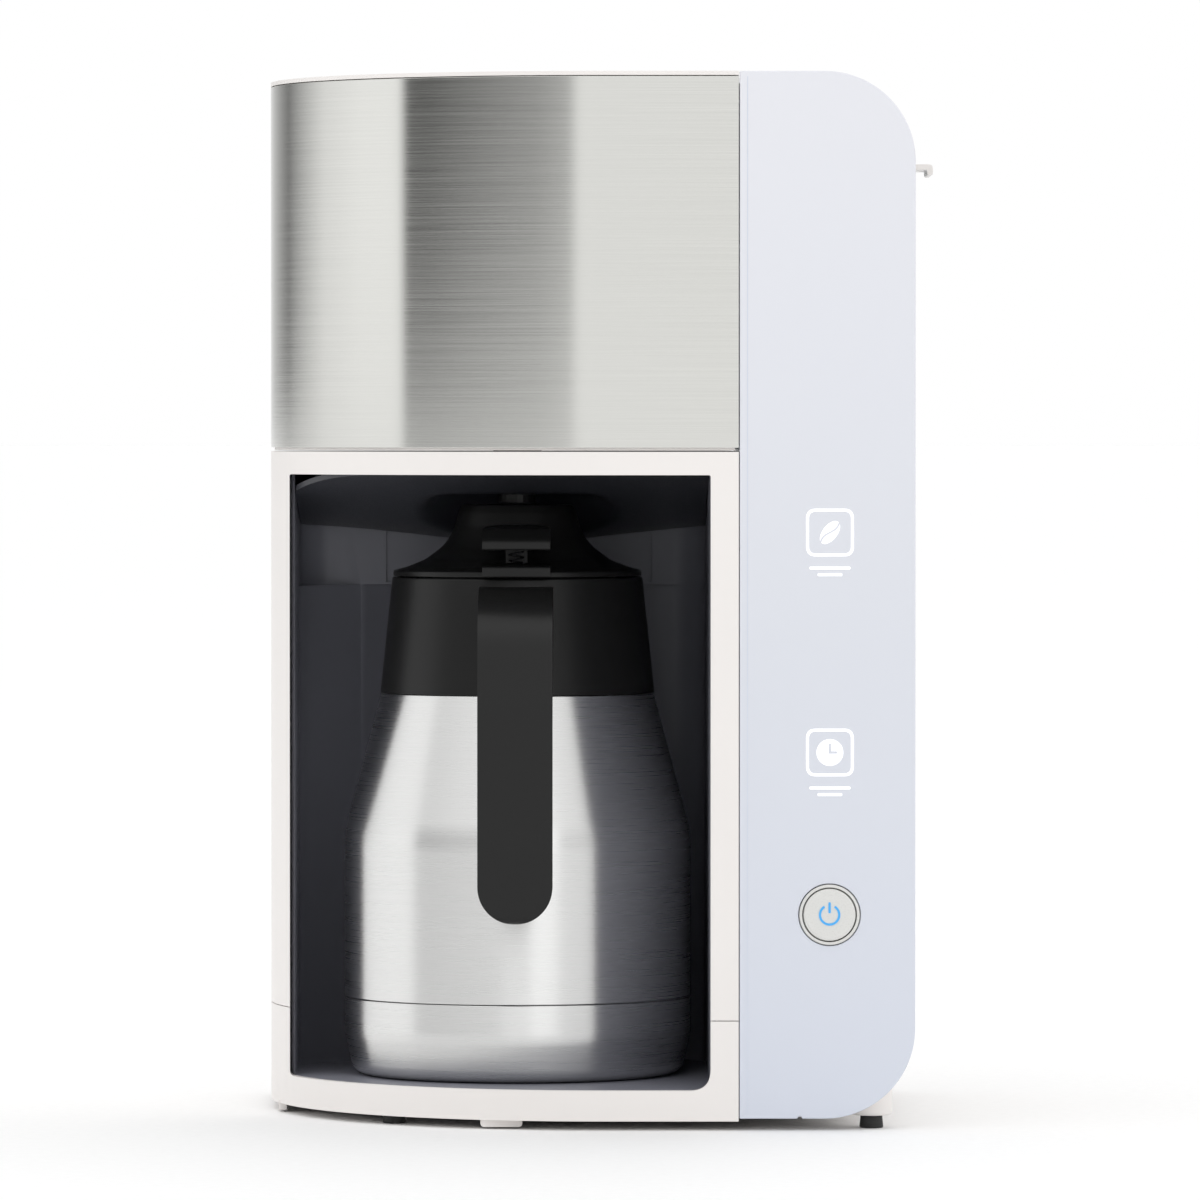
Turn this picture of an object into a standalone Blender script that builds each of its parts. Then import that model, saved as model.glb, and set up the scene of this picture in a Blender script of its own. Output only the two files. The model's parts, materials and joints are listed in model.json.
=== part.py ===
"""Drip coffee maker with a thermal jug, built as separate pieces on one frame.

The front faces -Y, +X is to the right and +Z is up. The origin is on the table under the middle of the
machine. Every size below is in millimetres, and the helpers turn them to metres.
"""
import math

import bmesh
import bpy
from mathutils import Matrix, Vector

MM = 0.001
GAP = 0.3            # clearance between pieces that touch
RUN = 0.4            # clearance between pieces that slide past each other

# Body, left column
BODY_R = 123.8       # radius of the rounded front left side
FRONT_Y = -95.0
REAR_Y = 110.0
REAR_CORNER_R = 30.0
COLUMN_RIGHT = 50.4
BASE_BOTTOM = 3.7
BASE_TOP = 39.8
SHELL_TOP = 246.8
SHROUD_BOTTOM = 248.2
SHROUD_TOP = 383.2
BODY_TOP = 385.0
WALL = 2.4
SHROUD_T = 1.0
LID_PLATE = 1.5

# Jug bay
OPEN_LEFT = -115.4
OPEN_RIGHT = 40.2
OPEN_BOTTOM = 14.6
OPEN_TOP = 238.3
OPEN_CORNER_R = 7.5
LINER_WALL = 2.0
LINER_FLOOR = 14.7
LINER_LEFT = -113.6
BAY_BACK = 70.0
BAY_BACK_UPPER = 64.0
BAY_STEP_Z = 196.0
BAY_CORNER_R = 45.0
BAY_SMALL_R = 12.0
COWL_DROP = 26.0
COWL_T = 2.4

# Right column
COLUMN_X = 50.7      # left edge of the touch panel
PANEL_RIGHT = 114.6
PANEL_BOTTOM = 4.4
PANEL_CORNER_R = 33.0
PANEL_T = 3.5
CARRIER_T = 2.8
HOUSING_TOP = 244.8
TANK_TOP = 351.2
TANK_WALL = 2.2
SIDE_REAR_R = 12.0
TAB_REACH = 9.5
TAB_LENGTH = 34.0
TAB_Y = 5.0
TANK_HINGE_X = 53.7
TANK_HINGE_Z = 382.3
KNUCKLE_R = 2.3

# Tank outlet
OUTLET_X = 82.0
OUTLET_Y = 60.0
OUTLET_BORE = 7.0
OUTLET_R = 10.0
OUTLET_DROP = 7.0
TANK_VALVE_TRAVEL = 2.0

# Power button
BUTTON_X = 83.4
BUTTON_Z = 78.6
BUTTON_R = 9.5
BUTTON_RING_R = 11.0
BUTTON_PROUD = 1.0
BUTTON_TRAVEL = 1.5
STEM_R = 3.0

# Feet
FOOT_R = 4.4
LEFT_FEET_X = -75.6
LEFT_FOOT_FRONT_Y = -57.0
RIGHT_FEET_X = 99.1
RIGHT_FOOT_FRONT_Y = -79.0
REAR_FEET_Y = 88.0
POST_R = 7.7
POST_BOTTOM = 4.7
SCREW_PLACES = [(-80.0, -30.0), (30.0, -70.0), (-95.0, 60.0), (30.0, 92.0)]
GLAND_X = 78.0
GLAND_Z = 26.0
GLAND_R = 7.0

# Brewing
LID_HINGE_Y = 84.0
LID_HINGE_Z = 382.5
LID_EARS = [("left", (-98.0, -92.0)), ("right", (34.0, 40.0))]
LID_EAR_REACH = 2.2   # the deck's ears stand this far ahead of the pin
LID_EAR_ROOM = 3.6    # the lid is cut back this far, so it turns clear of the ears' upper corners
BASKET_TOP = 347.0
BASKET_R = 60.0
BASKET_FLOOR = 258.0
BASKET_OUTLET_R = 5.0
NECK_R = 9.0
NECK_BOTTOM = 240.0
DRIP_TRAVEL = 3.5
SHOWER_R = 40.0
HOSE_R = 4.5
BOILER_Z = 46.0
BOILER_IN_X = 96.0
BOILER_OUT_X = 68.0
BOILER_BACK = 56.0
RISER_Y = 91.0
RISER_CROSS_Z = 214.0
NOZZLE_Y = 68.0

# Jug
JUG_X = -30.8
JUG_Y = -4.0
JUG_R = 64.5
JUG_BOTTOM = 15.0
JUG_SEAM = 44.0
JUG_SHOULDER = 105.0
COLLAR_BOTTOM = 157.0
COLLAR_TOP = 200.0
COLLAR_R_LOW = 51.1
COLLAR_R_TOP = 46.6
NECK_SHELL_R = 44.5
FLASK_NECK_R = 40.5
JUG_WALL = 1.0
JUG_TOP = 227.0
LID_NECK_R = 22.0
HANDLE_W = 27.2
HANDLE_FRONT = -110.0
HANDLE_T = 14.0
HANDLE_BOTTOM = 75.7
HANDLE_TOP = 198.0
LEVER_W = 25.0
LEVER_PIN_Y = -37.5
LEVER_PIN_Z = 213.0
LEVER_TIP_Y = -57.5
LEVER_TOP = 220.0
PIN_R = 1.0

FINISHES = {
    "white_plastic": ((0.82, 0.79, 0.76), 0.35, 0.0),
    "dark_plastic": ((0.055, 0.055, 0.065), 0.4, 0.0),
    "black_plastic": ((0.02, 0.02, 0.02), 0.4, 0.0),
    "brushed_steel": ((0.6, 0.6, 0.58), 0.3, 1.0),
    "acrylic": ((0.86, 0.88, 0.93), 0.1, 0.0),
    "clear_plastic": ((0.75, 0.78, 0.8), 0.1, 0.0),
    "rubber": ((0.03, 0.03, 0.03), 0.8, 0.0),
    "silicone": ((0.75, 0.72, 0.68), 0.6, 0.0),
    "aluminium": ((0.7, 0.7, 0.7), 0.4, 1.0),
    "circuit_board": ((0.02, 0.16, 0.07), 0.5, 0.0),
}


# ---------------------------------------------------------------- helpers

def clear_scene():
    for item in list(bpy.data.objects):
        bpy.data.objects.remove(item)


def collection(name):
    group = bpy.data.collections.new(name)
    bpy.context.scene.collection.children.link(group)
    return group


def finish(name):
    material = bpy.data.materials.get(name)
    if material is None:
        colour, rough, metal = FINISHES[name]
        material = bpy.data.materials.new(name)
        material.use_nodes = True
        shader = material.node_tree.nodes["Principled BSDF"]
        shader.inputs["Base Color"].default_value = (*colour, 1.0)
        shader.inputs["Roughness"].default_value = rough
        shader.inputs["Metallic"].default_value = metal
    return material


def place(name, data, look):
    """A named piece of the machine, or a cutter when look is None."""
    item = bpy.data.objects.new(name, data)
    if look is None:
        CUTTERS.objects.link(item)
        item.hide_render = True
        item.display_type = "WIRE"
    else:
        PARTS.objects.link(item)
        data.materials.append(finish(look))
    return item


def arc(cx, cy, radius, start, end, steps):
    points = []
    for i in range(steps + 1):
        angle = math.radians(start + (end - start) * i / steps)
        points.append((cx + radius * math.cos(angle), cy + radius * math.sin(angle)))
    return points


def prism(name, outline, low, high, look=None, axis="Z"):
    """A flat outline pushed along an axis: Z takes (x, y), Y takes (x, z) and X takes (y, z)."""
    turn = {"Z": lambda u, v, w: (u, v, w), "Y": lambda u, v, w: (u, w, v), "X": lambda u, v, w: (w, u, v)}
    build = bmesh.new()
    points = [build.verts.new(Vector(turn[axis](u, v, low)) * MM) for u, v in outline]
    face = build.faces.new(points)
    pushed = bmesh.ops.extrude_face_region(build, geom=[face])["geom"]
    step = Vector(turn[axis](0.0, 0.0, high - low)) * MM
    moved = [v for v in pushed if isinstance(v, bmesh.types.BMVert)]
    bmesh.ops.translate(build, verts=moved, vec=step)
    bmesh.ops.recalc_face_normals(build, faces=build.faces)
    mesh = bpy.data.meshes.new(name)
    build.to_mesh(mesh)
    build.free()
    return place(name, mesh, look)


def block(name, x, y, z, look=None):
    outline = [(x[0], y[0]), (x[1], y[0]), (x[1], y[1]), (x[0], y[1])]
    return prism(name, outline, z[0], z[1], look)


def turned(name, profile, centre, look=None, steps=32, axis="Z"):
    """A profile of (radius, height) turned about an axis through centre."""
    area = sum(a[0] * b[1] - b[0] * a[1] for a, b in zip(profile, profile[1:] + profile[:1]))
    points = profile if area < 0 else profile[::-1]
    open_at_axis = points[0][0] == 0.0 and points[-1][0] == 0.0
    count = len(points)
    edges = [(i, i + 1) for i in range(count - 1)]
    if not open_at_axis:
        edges.append((count - 1, 0))
    mesh = bpy.data.meshes.new(name)
    mesh.from_pydata([(r * MM, 0.0, h * MM) for r, h in points], edges, [])
    item = place(name, mesh, look)
    item.location = Vector(centre) * MM
    if axis == "Y":
        item.rotation_euler = (-math.pi / 2, 0.0, 0.0)
    if axis == "X":
        item.rotation_euler = (0.0, math.pi / 2, 0.0)
    screw = item.modifiers.new("turn", "SCREW")
    screw.steps = steps
    screw.render_steps = steps
    screw.use_merge_vertices = True
    screw.merge_threshold = 0.00001
    screw.use_smooth_shade = True
    return item


def rod(name, radius, low, high, centre, look=None, steps=16, axis="Z"):
    """A plain round bar; low and high run along the axis."""
    profile = [(0.0, high), (radius, high), (radius, low), (0.0, low)]
    return turned(name, profile, centre, look, steps, axis)


def pipe(name, outer, inner, low, high, centre, look=None, steps=24, axis="Z"):
    profile = [(outer, high), (outer, low), (inner, low), (inner, high)]
    return turned(name, profile, centre, look, steps, axis)


def smooth_route(points, per_leg):
    """Points read from a Catmull-Rom curve through the route's own points."""
    knots = [Vector(p) for p in points]
    ends = [knots[0] * 2 - knots[1]] + knots + [knots[-1] * 2 - knots[-2]]
    route = []
    for i in range(1, len(ends) - 2):
        a, b, c, d = ends[i - 1:i + 3]
        for k in range(per_leg):
            t = k / per_leg
            route.append(0.5 * (2 * b + (c - a) * t + (2 * a - 5 * b + 4 * c - d) * t * t
                                + (3 * b - a - 3 * c + d) * t ** 3))
    return route + [knots[-1]]


def tube(name, route, radius, look):
    curve = bpy.data.curves.new(name, "CURVE")
    curve.dimensions = "3D"
    curve.bevel_depth = radius * MM
    curve.bevel_resolution = 2
    curve.use_fill_caps = True
    spline = curve.splines.new("POLY")
    spline.points.add(len(route) - 1)
    for point, place_at in zip(spline.points, route):
        point.co = (*(Vector(place_at) * MM), 1.0)
    return place(name, curve, look)


def coil(name, centre, radius, wire, low, high, turns, axis="Z"):
    """A helical spring standing between low and high along its axis."""
    steps = 8
    route = []
    for i in range(turns * steps + 1):
        angle = 2 * math.pi * i / steps
        along = low + wire + (high - low - 2 * wire) * i / (turns * steps)
        u, v = radius * math.cos(angle), radius * math.sin(angle)
        offset = (u, v, along) if axis == "Z" else (u, along, v)
        route.append(Vector(centre) + Vector(offset))
    return tube(name, route, wire, "brushed_steel")


def boolean(item, operation, tools):
    for tool in tools:
        change = item.modifiers.new(operation.lower(), "BOOLEAN")
        change.operation = operation
        change.object = tool
        change.solver = "EXACT"
    return item


def cut(item, *tools):
    return boolean(item, "DIFFERENCE", tools)


def join(item, *tools):
    return boolean(item, "UNION", tools)


def within(item, *tools):
    return boolean(item, "INTERSECT", tools)


# ---------------------------------------------------------------- outlines

def column_outline(inset, rear=REAR_Y):
    """Plan of the left column: flat front, long arc to the left side, rounded rear corner."""
    arc_y = FRONT_Y + BODY_R
    points = [(COLUMN_RIGHT - inset, FRONT_Y + inset)]
    points += arc(0.0, arc_y, BODY_R - inset, 270, 180, 18)
    corner = REAR_CORNER_R - inset
    points += arc(REAR_CORNER_R - BODY_R, REAR_Y - REAR_CORNER_R, corner, 180, 90, 6)
    points.append((COLUMN_RIGHT - inset, rear - inset))
    return points


def arc_x(y, inset):
    """Left side of the column at a depth y."""
    arc_y = FRONT_Y + BODY_R
    radius = BODY_R - inset
    return -math.sqrt(radius ** 2 - min(0.0, y - arc_y) ** 2)


def side_outline(left, right, bottom, top, corner, lower, upper):
    """Front view of the right column, with its right corners rounded where asked."""
    meet = max(0.0, bottom + corner - top)
    points = [(left, bottom)]
    if lower:
        points += arc(right - corner, bottom + corner, corner, 270, 360, 8)
    elif not upper or meet == 0.0:
        points.append((right, bottom))
    if upper:
        points += arc(right - corner, top - corner, corner, math.degrees(math.asin(meet / corner)), 90, 8)
    else:
        points.append((right, top))
    points.append((left, top))
    return points


def side_plan(left, right, front, rear, corner):
    points = [(left, front), (right, front)]
    points += arc(right - corner, rear - corner, corner, 0, 90, 6)
    points.append((left, rear))
    return points


SIDE_RIGHT = PANEL_RIGHT - GAP
CARRIER_Y = FRONT_Y + PANEL_T + GAP
SIDE_FRONT = CARRIER_Y + CARRIER_T + GAP
TUB_BOTTOM = SHELL_TOP + 0.5
TUB_FLOOR = TUB_BOTTOM + 2.5
TANK_BOTTOM = HOUSING_TOP + GAP
TANK_FLOOR = TANK_BOTTOM + TANK_WALL
TANK_LEFT = COLUMN_X + 0.6
EAR_FRONT = (SIDE_FRONT + 2.7, SIDE_FRONT + 8.1)
EAR_REAR = (REAR_Y - 12.0, REAR_Y - 6.6)


# ---------------------------------------------------------------- left column

def opening_cutter():
    corner = arc(OPEN_RIGHT - OPEN_CORNER_R, OPEN_BOTTOM + OPEN_CORNER_R, OPEN_CORNER_R, 270, 360, 5)
    outline = [(OPEN_LEFT, OPEN_BOTTOM), *corner, (OPEN_RIGHT, OPEN_TOP), (OPEN_LEFT, OPEN_TOP)]
    depth = FRONT_Y + BODY_R - math.sqrt((BODY_R - WALL) ** 2 - OPEN_LEFT ** 2) + 1.0
    return prism("cut_opening", outline, FRONT_Y - 20, depth, axis="Y")


def base_pan(opening):
    pan = prism("base_pan", column_outline(0.0), BASE_BOTTOM, BASE_TOP, "white_plastic")
    front_tab = block("add_front_tab", (-43.6, -28.3), (-86.0, -79.0), (0.7, BASE_BOTTOM + 1))
    side_tab = block("add_side_tab", (-120.0, -117.0), (-4.0, 64.0), (0.7, BASE_BOTTOM + 1))
    join(pan, front_tab, side_tab)
    hollow = prism("cut_base", column_outline(WALL), BASE_BOTTOM + WALL, BASE_TOP + 10)
    cut(pan, hollow, opening)
    for i, (x, y) in enumerate(SCREW_PLACES):
        cut(pan, rod(f"cut_screw_{i + 1}", 1.9, 0.0, 12.0, (x, y, 0.0), steps=12))
    return pan


def base_screws():
    top = LINER_FLOOR - LINER_WALL - GAP
    for i, (x, y) in enumerate(SCREW_PLACES):
        profile = [(0.0, top), (1.5, top), (1.5, BASE_BOTTOM - GAP), (3.4, BASE_BOTTOM - GAP),
                   (3.0, BASE_BOTTOM - 2.2), (0.0, BASE_BOTTOM - 2.2)]
        turned(f"base_screw_{i + 1}", profile, (x, y, 0.0), "brushed_steel", 12)


def column_shell(opening):
    shell = prism("column_shell", column_outline(0.0), BASE_TOP + GAP, SHELL_TOP, "white_plastic")
    hollow = prism("cut_shell", column_outline(WALL), BASE_TOP - 10, SHELL_TOP + 10)
    pass_hole = rod("cut_riser_pass", HOSE_R + 2.0, COLUMN_RIGHT - 10, COLUMN_RIGHT + 10,
                    (0.0, RISER_Y, RISER_CROSS_Z), axis="X")
    return cut(shell, hollow, opening, pass_hole)


def bay_walls(back, corner_left, left, right, front):
    """Plan of the bay's inside, open at the front."""
    points = [(right, front)]
    points += arc(right - BAY_SMALL_R, back - BAY_SMALL_R, BAY_SMALL_R, 0, 90, 5)
    points += arc(left + corner_left, back - corner_left, corner_left, 90, 180, 8)
    points.append((left, front))
    return points


def bay_liner():
    outer_right = OPEN_RIGHT + LINER_WALL
    outer_left = LINER_LEFT - LINER_WALL
    outer_back = BAY_BACK + LINER_WALL
    inset = WALL + GAP
    sweep = 180 + math.degrees(math.acos(-outer_left / (BODY_R - inset)))
    outline = [(outer_right, FRONT_Y + inset)]
    outline += arc(0.0, FRONT_Y + BODY_R, BODY_R - inset, 270, sweep, 14)
    outline += arc(outer_left + BAY_SMALL_R, outer_back - BAY_SMALL_R, BAY_SMALL_R, 180, 90, 5)
    outline += arc(outer_right - BAY_SMALL_R, outer_back - BAY_SMALL_R, BAY_SMALL_R, 90, 0, 5)
    liner = prism("bay_liner", outline, LINER_FLOOR - LINER_WALL, SHELL_TOP - 2.0, "dark_plastic")
    far = FRONT_Y - 20
    lower = bay_walls(BAY_BACK, BAY_CORNER_R, LINER_LEFT, OPEN_RIGHT, far)
    upper = bay_walls(BAY_BACK_UPPER, BAY_SMALL_R, LINER_LEFT, OPEN_RIGHT, far)
    cut(liner, prism("cut_bay_lower", lower, LINER_FLOOR, BAY_STEP_Z))
    cut(liner, prism("cut_bay_upper", upper, BAY_STEP_Z - 0.1, SHELL_TOP + 10))
    relief_r = BAY_CORNER_R + LINER_WALL
    centre_x, centre_y = LINER_LEFT + BAY_CORNER_R, BAY_BACK - BAY_CORNER_R
    relief = arc(centre_x, centre_y, relief_r, 180, 90, 8)
    relief += [(centre_x, outer_back + 10), (outer_left - 10, outer_back + 10), (outer_left - 10, centre_y)]
    cut(liner, prism("cut_bay_relief", relief, 0.0, BAY_STEP_Z - LINER_WALL))
    for side, x in (("left", JUG_X - 49.7), ("right", JUG_X + 49.7)):
        groove = block(f"cut_groove_{side}", (x - 1.0, x + 1.0), (BAY_BACK_UPPER - 5, BAY_BACK_UPPER + 2.0),
                       (BAY_STEP_Z + 1, SHELL_TOP))
        cut(liner, groove)
    return liner


def cowl_height(x, y):
    """Underside of the bay's ceiling: it falls towards the back, with a dish round the drip outlet."""
    front = FRONT_Y + WALL
    t = (y - front) / (BAY_BACK_UPPER - front)
    fall = max(0.0, (t - 0.2) / 0.8)
    fall = fall * fall * (3 - 2 * fall)
    middle = math.exp(-((x - JUG_X) / 55.0) ** 2)
    ramp = OPEN_TOP - COWL_DROP * fall * (0.72 + 0.28 * middle)
    reach = math.hypot(x - JUG_X, y - JUG_Y)
    dish = JUG_TOP + 4.0 - 0.75 * max(0.0, reach - 30.0)
    if ramp > dish + 3.0:
        return ramp
    return max(ramp, min(dish, OPEN_TOP))


def drip_cowl():
    """The bay's ceiling, laid as one sheet over the bay's plan and given its thickness."""
    columns, rows = 14, 14
    front = FRONT_Y + WALL + GAP
    back = BAY_BACK_UPPER - GAP
    right = OPEN_RIGHT - GAP
    build = bmesh.new()
    sheets = []
    for lift in (0.0, COWL_T):
        grid = []
        for j in range(rows + 1):
            y = front + (back - front) * j / rows
            left = max(LINER_LEFT + GAP, arc_x(y, WALL + GAP))
            corner = max(0.0, y - (back - BAY_SMALL_R))
            pull = BAY_SMALL_R - math.sqrt(max(0.0, BAY_SMALL_R ** 2 - corner ** 2))
            line = []
            for i in range(columns + 1):
                x = (left + pull) + (right - left - 2 * pull) * i / columns
                line.append(build.verts.new(Vector((x, y, cowl_height(x, y) + lift)) * MM))
            grid.append(line)
        sheets.append(grid)
    low, high = sheets
    for j in range(rows):
        for i in range(columns):
            build.faces.new((low[j][i], low[j + 1][i], low[j + 1][i + 1], low[j][i + 1]))
            build.faces.new((high[j][i], high[j][i + 1], high[j + 1][i + 1], high[j + 1][i]))
    edge = [(0, i) for i in range(columns)] + [(j, columns) for j in range(rows)]
    edge += [(rows, i) for i in range(columns, 0, -1)] + [(j, 0) for j in range(rows, 0, -1)]
    for (j, i), (n, m) in zip(edge, edge[1:] + edge[:1]):
        build.faces.new((low[j][i], low[n][m], high[n][m], high[j][i]))
    bmesh.ops.recalc_face_normals(build, faces=build.faces)
    mesh = bpy.data.meshes.new("drip_cowl")
    build.to_mesh(mesh)
    build.free()
    cowl = place("drip_cowl", mesh, "dark_plastic")
    hole = rod("cut_cowl_outlet", 12.0, 0.0, 300.0, (JUG_X, JUG_Y, 0.0), steps=24)
    return cut(cowl, hole)


def steel_shroud():
    """One bent sheet from the touch panel round the front and left side to the rear corner."""
    outer = column_outline(0.0)[:-1]
    inner = column_outline(SHROUD_T)[:-1]
    inner[0] = (COLUMN_RIGHT, FRONT_Y + SHROUD_T)
    return prism("steel_shroud", outer + inner[::-1], SHROUD_BOTTOM, SHROUD_TOP, "brushed_steel")


def chamber_tub():
    inset = SHROUD_T + GAP
    tub = prism("chamber_tub", column_outline(inset), TUB_BOTTOM, SHROUD_TOP - 0.7, "white_plastic")
    hollow = prism("cut_tub", column_outline(inset + WALL), TUB_FLOOR, BODY_TOP + 10)
    outlet = rod("cut_tub_outlet", NECK_R + 2.0, TUB_BOTTOM - 5, TUB_FLOOR + 5, (JUG_X, JUG_Y, 0.0), steps=24)
    riser = rod("cut_tub_riser", HOSE_R + 1.5, TUB_BOTTOM - 5, TUB_FLOOR + 5, (JUG_X, RISER_Y, 0.0))
    return cut(tub, hollow, outlet, riser)


def rear_cover():
    left = REAR_CORNER_R - BODY_R + GAP
    return block("rear_cover", (left, COLUMN_RIGHT), (REAR_Y - SHROUD_T, REAR_Y),
                 (SHROUD_BOTTOM, SHROUD_TOP), "white_plastic")


def rear_deck():
    """Fixed strip of the top behind the lid, with two ears that hold the hinge pin."""
    low = SHROUD_TOP + GAP
    outline = [p for p in column_outline(0.0) if p[1] > LID_HINGE_Y + 3.0]
    left = arc_x(LID_HINGE_Y, 0.0)
    outline = [(left, LID_HINGE_Y + 3.0)] + outline + [(COLUMN_RIGHT, LID_HINGE_Y + 3.0)]
    deck = prism("rear_deck", outline, low, BODY_TOP, "white_plastic")
    for name, x in LID_EARS:
        ear = block(f"add_ear_{name}", x, (LID_HINGE_Y - LID_EAR_REACH, LID_HINGE_Y + 6.0), (379.5, BODY_TOP - 0.2))
        join(deck, ear)
    bore = rod("cut_deck_bore", PIN_R + GAP, -110.0, 60.0, (0.0, LID_HINGE_Y, LID_HINGE_Z), steps=12, axis="X")
    return cut(deck, bore)


def lid_hinge_pin():
    return rod("lid_hinge_pin", PIN_R, LID_EARS[0][1][0], LID_EARS[1][1][1],
               (0.0, LID_HINGE_Y, LID_HINGE_Z), "brushed_steel", 12, "X")


def brew_lid():
    rear = LID_HINGE_Y - 0.5
    outline = [p for p in column_outline(0.0) if p[1] < rear]
    outline += [(arc_x(0.0 + rear, 0.0), rear), (COLUMN_RIGHT, rear)]
    lid = prism("brew_lid", outline, BODY_TOP - LID_PLATE, BODY_TOP, "white_plastic")
    inset = SHROUD_T + GAP + WALL + 0.7
    skirt_rear = rear - 6.0
    ring = [p for p in column_outline(inset) if p[1] < skirt_rear]
    ring += [(arc_x(0.0, inset), skirt_rear), (COLUMN_RIGHT - inset, skirt_rear)]
    skirt = prism("add_lid_skirt", ring, BODY_TOP - 8.0, BODY_TOP - LID_PLATE + 0.5)
    inner_inset = inset + 2.0
    hole = [p for p in column_outline(inner_inset) if p[1] < skirt_rear - 2.0]
    hole += [(arc_x(0.0, inner_inset), skirt_rear - 2.0), (COLUMN_RIGHT - inner_inset, skirt_rear - 2.0)]
    join(lid, skirt)
    cut(lid, prism("cut_lid_skirt", hole, BODY_TOP - 20.0, BODY_TOP - LID_PLATE))
    for name, x in LID_EARS:
        cut(lid, block(f"cut_lid_ear_{name}", (x[0] - RUN, x[1] + RUN), (LID_HINGE_Y - LID_EAR_ROOM, LID_HINGE_Y + 10),
                       (370.0, BODY_TOP + 5)))
    span = (LID_EARS[0][1][1] + RUN, LID_EARS[1][1][0] - RUN)
    bar = rod("add_lid_knuckle", KNUCKLE_R, span[0], span[1], (0.0, LID_HINGE_Y, LID_HINGE_Z), axis="X")
    join(lid, bar)
    bore = rod("cut_lid_bore", PIN_R + GAP, -120.0, 60.0, (0.0, LID_HINGE_Y, LID_HINGE_Z), steps=12, axis="X")
    return cut(lid, bore)


def shower_head():
    """Spreader disc under the lid with the channel that brings the water from the rear."""
    low = BODY_TOP - 16.0
    high = BODY_TOP - LID_PLATE - GAP
    profile = [(0.0, high - 4.0), (SHOWER_R, high - 4.0), (SHOWER_R, low), (SHOWER_R - 2.0, low),
               (SHOWER_R - 2.0, low + 2.0), (0.0, low + 2.0)]
    head = turned("shower_head", profile, (JUG_X, JUG_Y, 0.0), "white_plastic", 28)
    channel = block("add_channel", (JUG_X - 7.3, JUG_X + 7.1), (JUG_Y - 9.4, LID_HINGE_Y - 11.0), (high - 5.2, high))
    join(head, channel)
    mouth = rod("cut_channel_mouth", 3.0, high - 10.0, high - 2.0, (JUG_X, NOZZLE_Y, 0.0), steps=12)
    cut(head, mouth)
    for i in range(8):
        angle = 2 * math.pi * (i + 0.3) / 8
        at = (JUG_X + 24 * math.cos(angle), JUG_Y + 24 * math.sin(angle), 0.0)
        cut(head, rod(f"cut_shower_{i + 1}", 2.0, low - 5.0, high + 5.0, at, steps=8))
    return head


def brew_basket():
    """Funnel that holds the paper filter, standing on a foot ring."""
    foot = TUB_FLOOR + GAP
    floor = BASKET_FLOOR
    profile = [(BASKET_R, BASKET_TOP), (BASKET_R, BASKET_TOP - 2.0), (BASKET_R - 3.5, BASKET_TOP - 3.0),
               (42.0, floor + 10.0), (32.0, floor + 4.0), (32.0, foot), (30.0, foot), (30.0, floor + 2.6),
               (NECK_R, floor - 2.5), (NECK_R, NECK_BOTTOM), (BASKET_OUTLET_R, NECK_BOTTOM),
               (BASKET_OUTLET_R, floor), (30.0, floor + 5.2), (40.2, floor + 11.5),
               (BASKET_R - 5.5, BASKET_TOP - 2.5), (BASKET_R - 5.5, BASKET_TOP)]
    return turned("brew_basket", profile, (JUG_X, JUG_Y, 0.0), "dark_plastic", 24)


def drip_valve():
    """Anti-drip poppet: the jug's lid holds it up, and its spring closes it when the jug leaves."""
    at = (JUG_X, JUG_Y, 0.0)
    seat = BASKET_FLOOR + 0.6
    head = seat + DRIP_TRAVEL + 1.6
    foot = JUG_TOP + 0.7
    profile = [(0.0, head + 2.0), (7.5, head + 2.0), (7.5, head), (2.2, head), (2.2, foot + 3.0),
               (7.0, foot + 3.0), (7.0, foot), (0.0, foot)]
    turned("drip_valve", profile, at, "black_plastic", 20)
    pipe("drip_seal", 7.4, 5.2, head - 1.4, head - GAP, at, "silicone", 20)
    coil("drip_spring", at, 4.0, 0.4, foot + 3.0 + GAP, NECK_BOTTOM - GAP, 3)


# ---------------------------------------------------------------- right column

def touch_panel():
    outline = side_outline(COLUMN_X, PANEL_RIGHT, PANEL_BOTTOM, BODY_TOP, PANEL_CORNER_R, True, True)
    panel = prism("touch_panel", outline, FRONT_Y, FRONT_Y + PANEL_T, "acrylic", "Y")
    return cut(panel, button_hole("cut_panel_button"))


def button_hole(name):
    return rod(name, BUTTON_RING_R + GAP, FRONT_Y - 5, SIDE_FRONT - 0.1, (BUTTON_X, 0.0, BUTTON_Z),
               steps=24, axis="Y")


def panel_carrier():
    outline = side_outline(COLUMN_X + GAP, SIDE_RIGHT, PANEL_BOTTOM + GAP, BODY_TOP - GAP,
                           PANEL_CORNER_R - GAP, True, True)
    carrier = prism("panel_carrier", outline, CARRIER_Y, CARRIER_Y + CARRIER_T, "white_plastic", "Y")
    return cut(carrier, button_hole("cut_carrier_button"))


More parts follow.
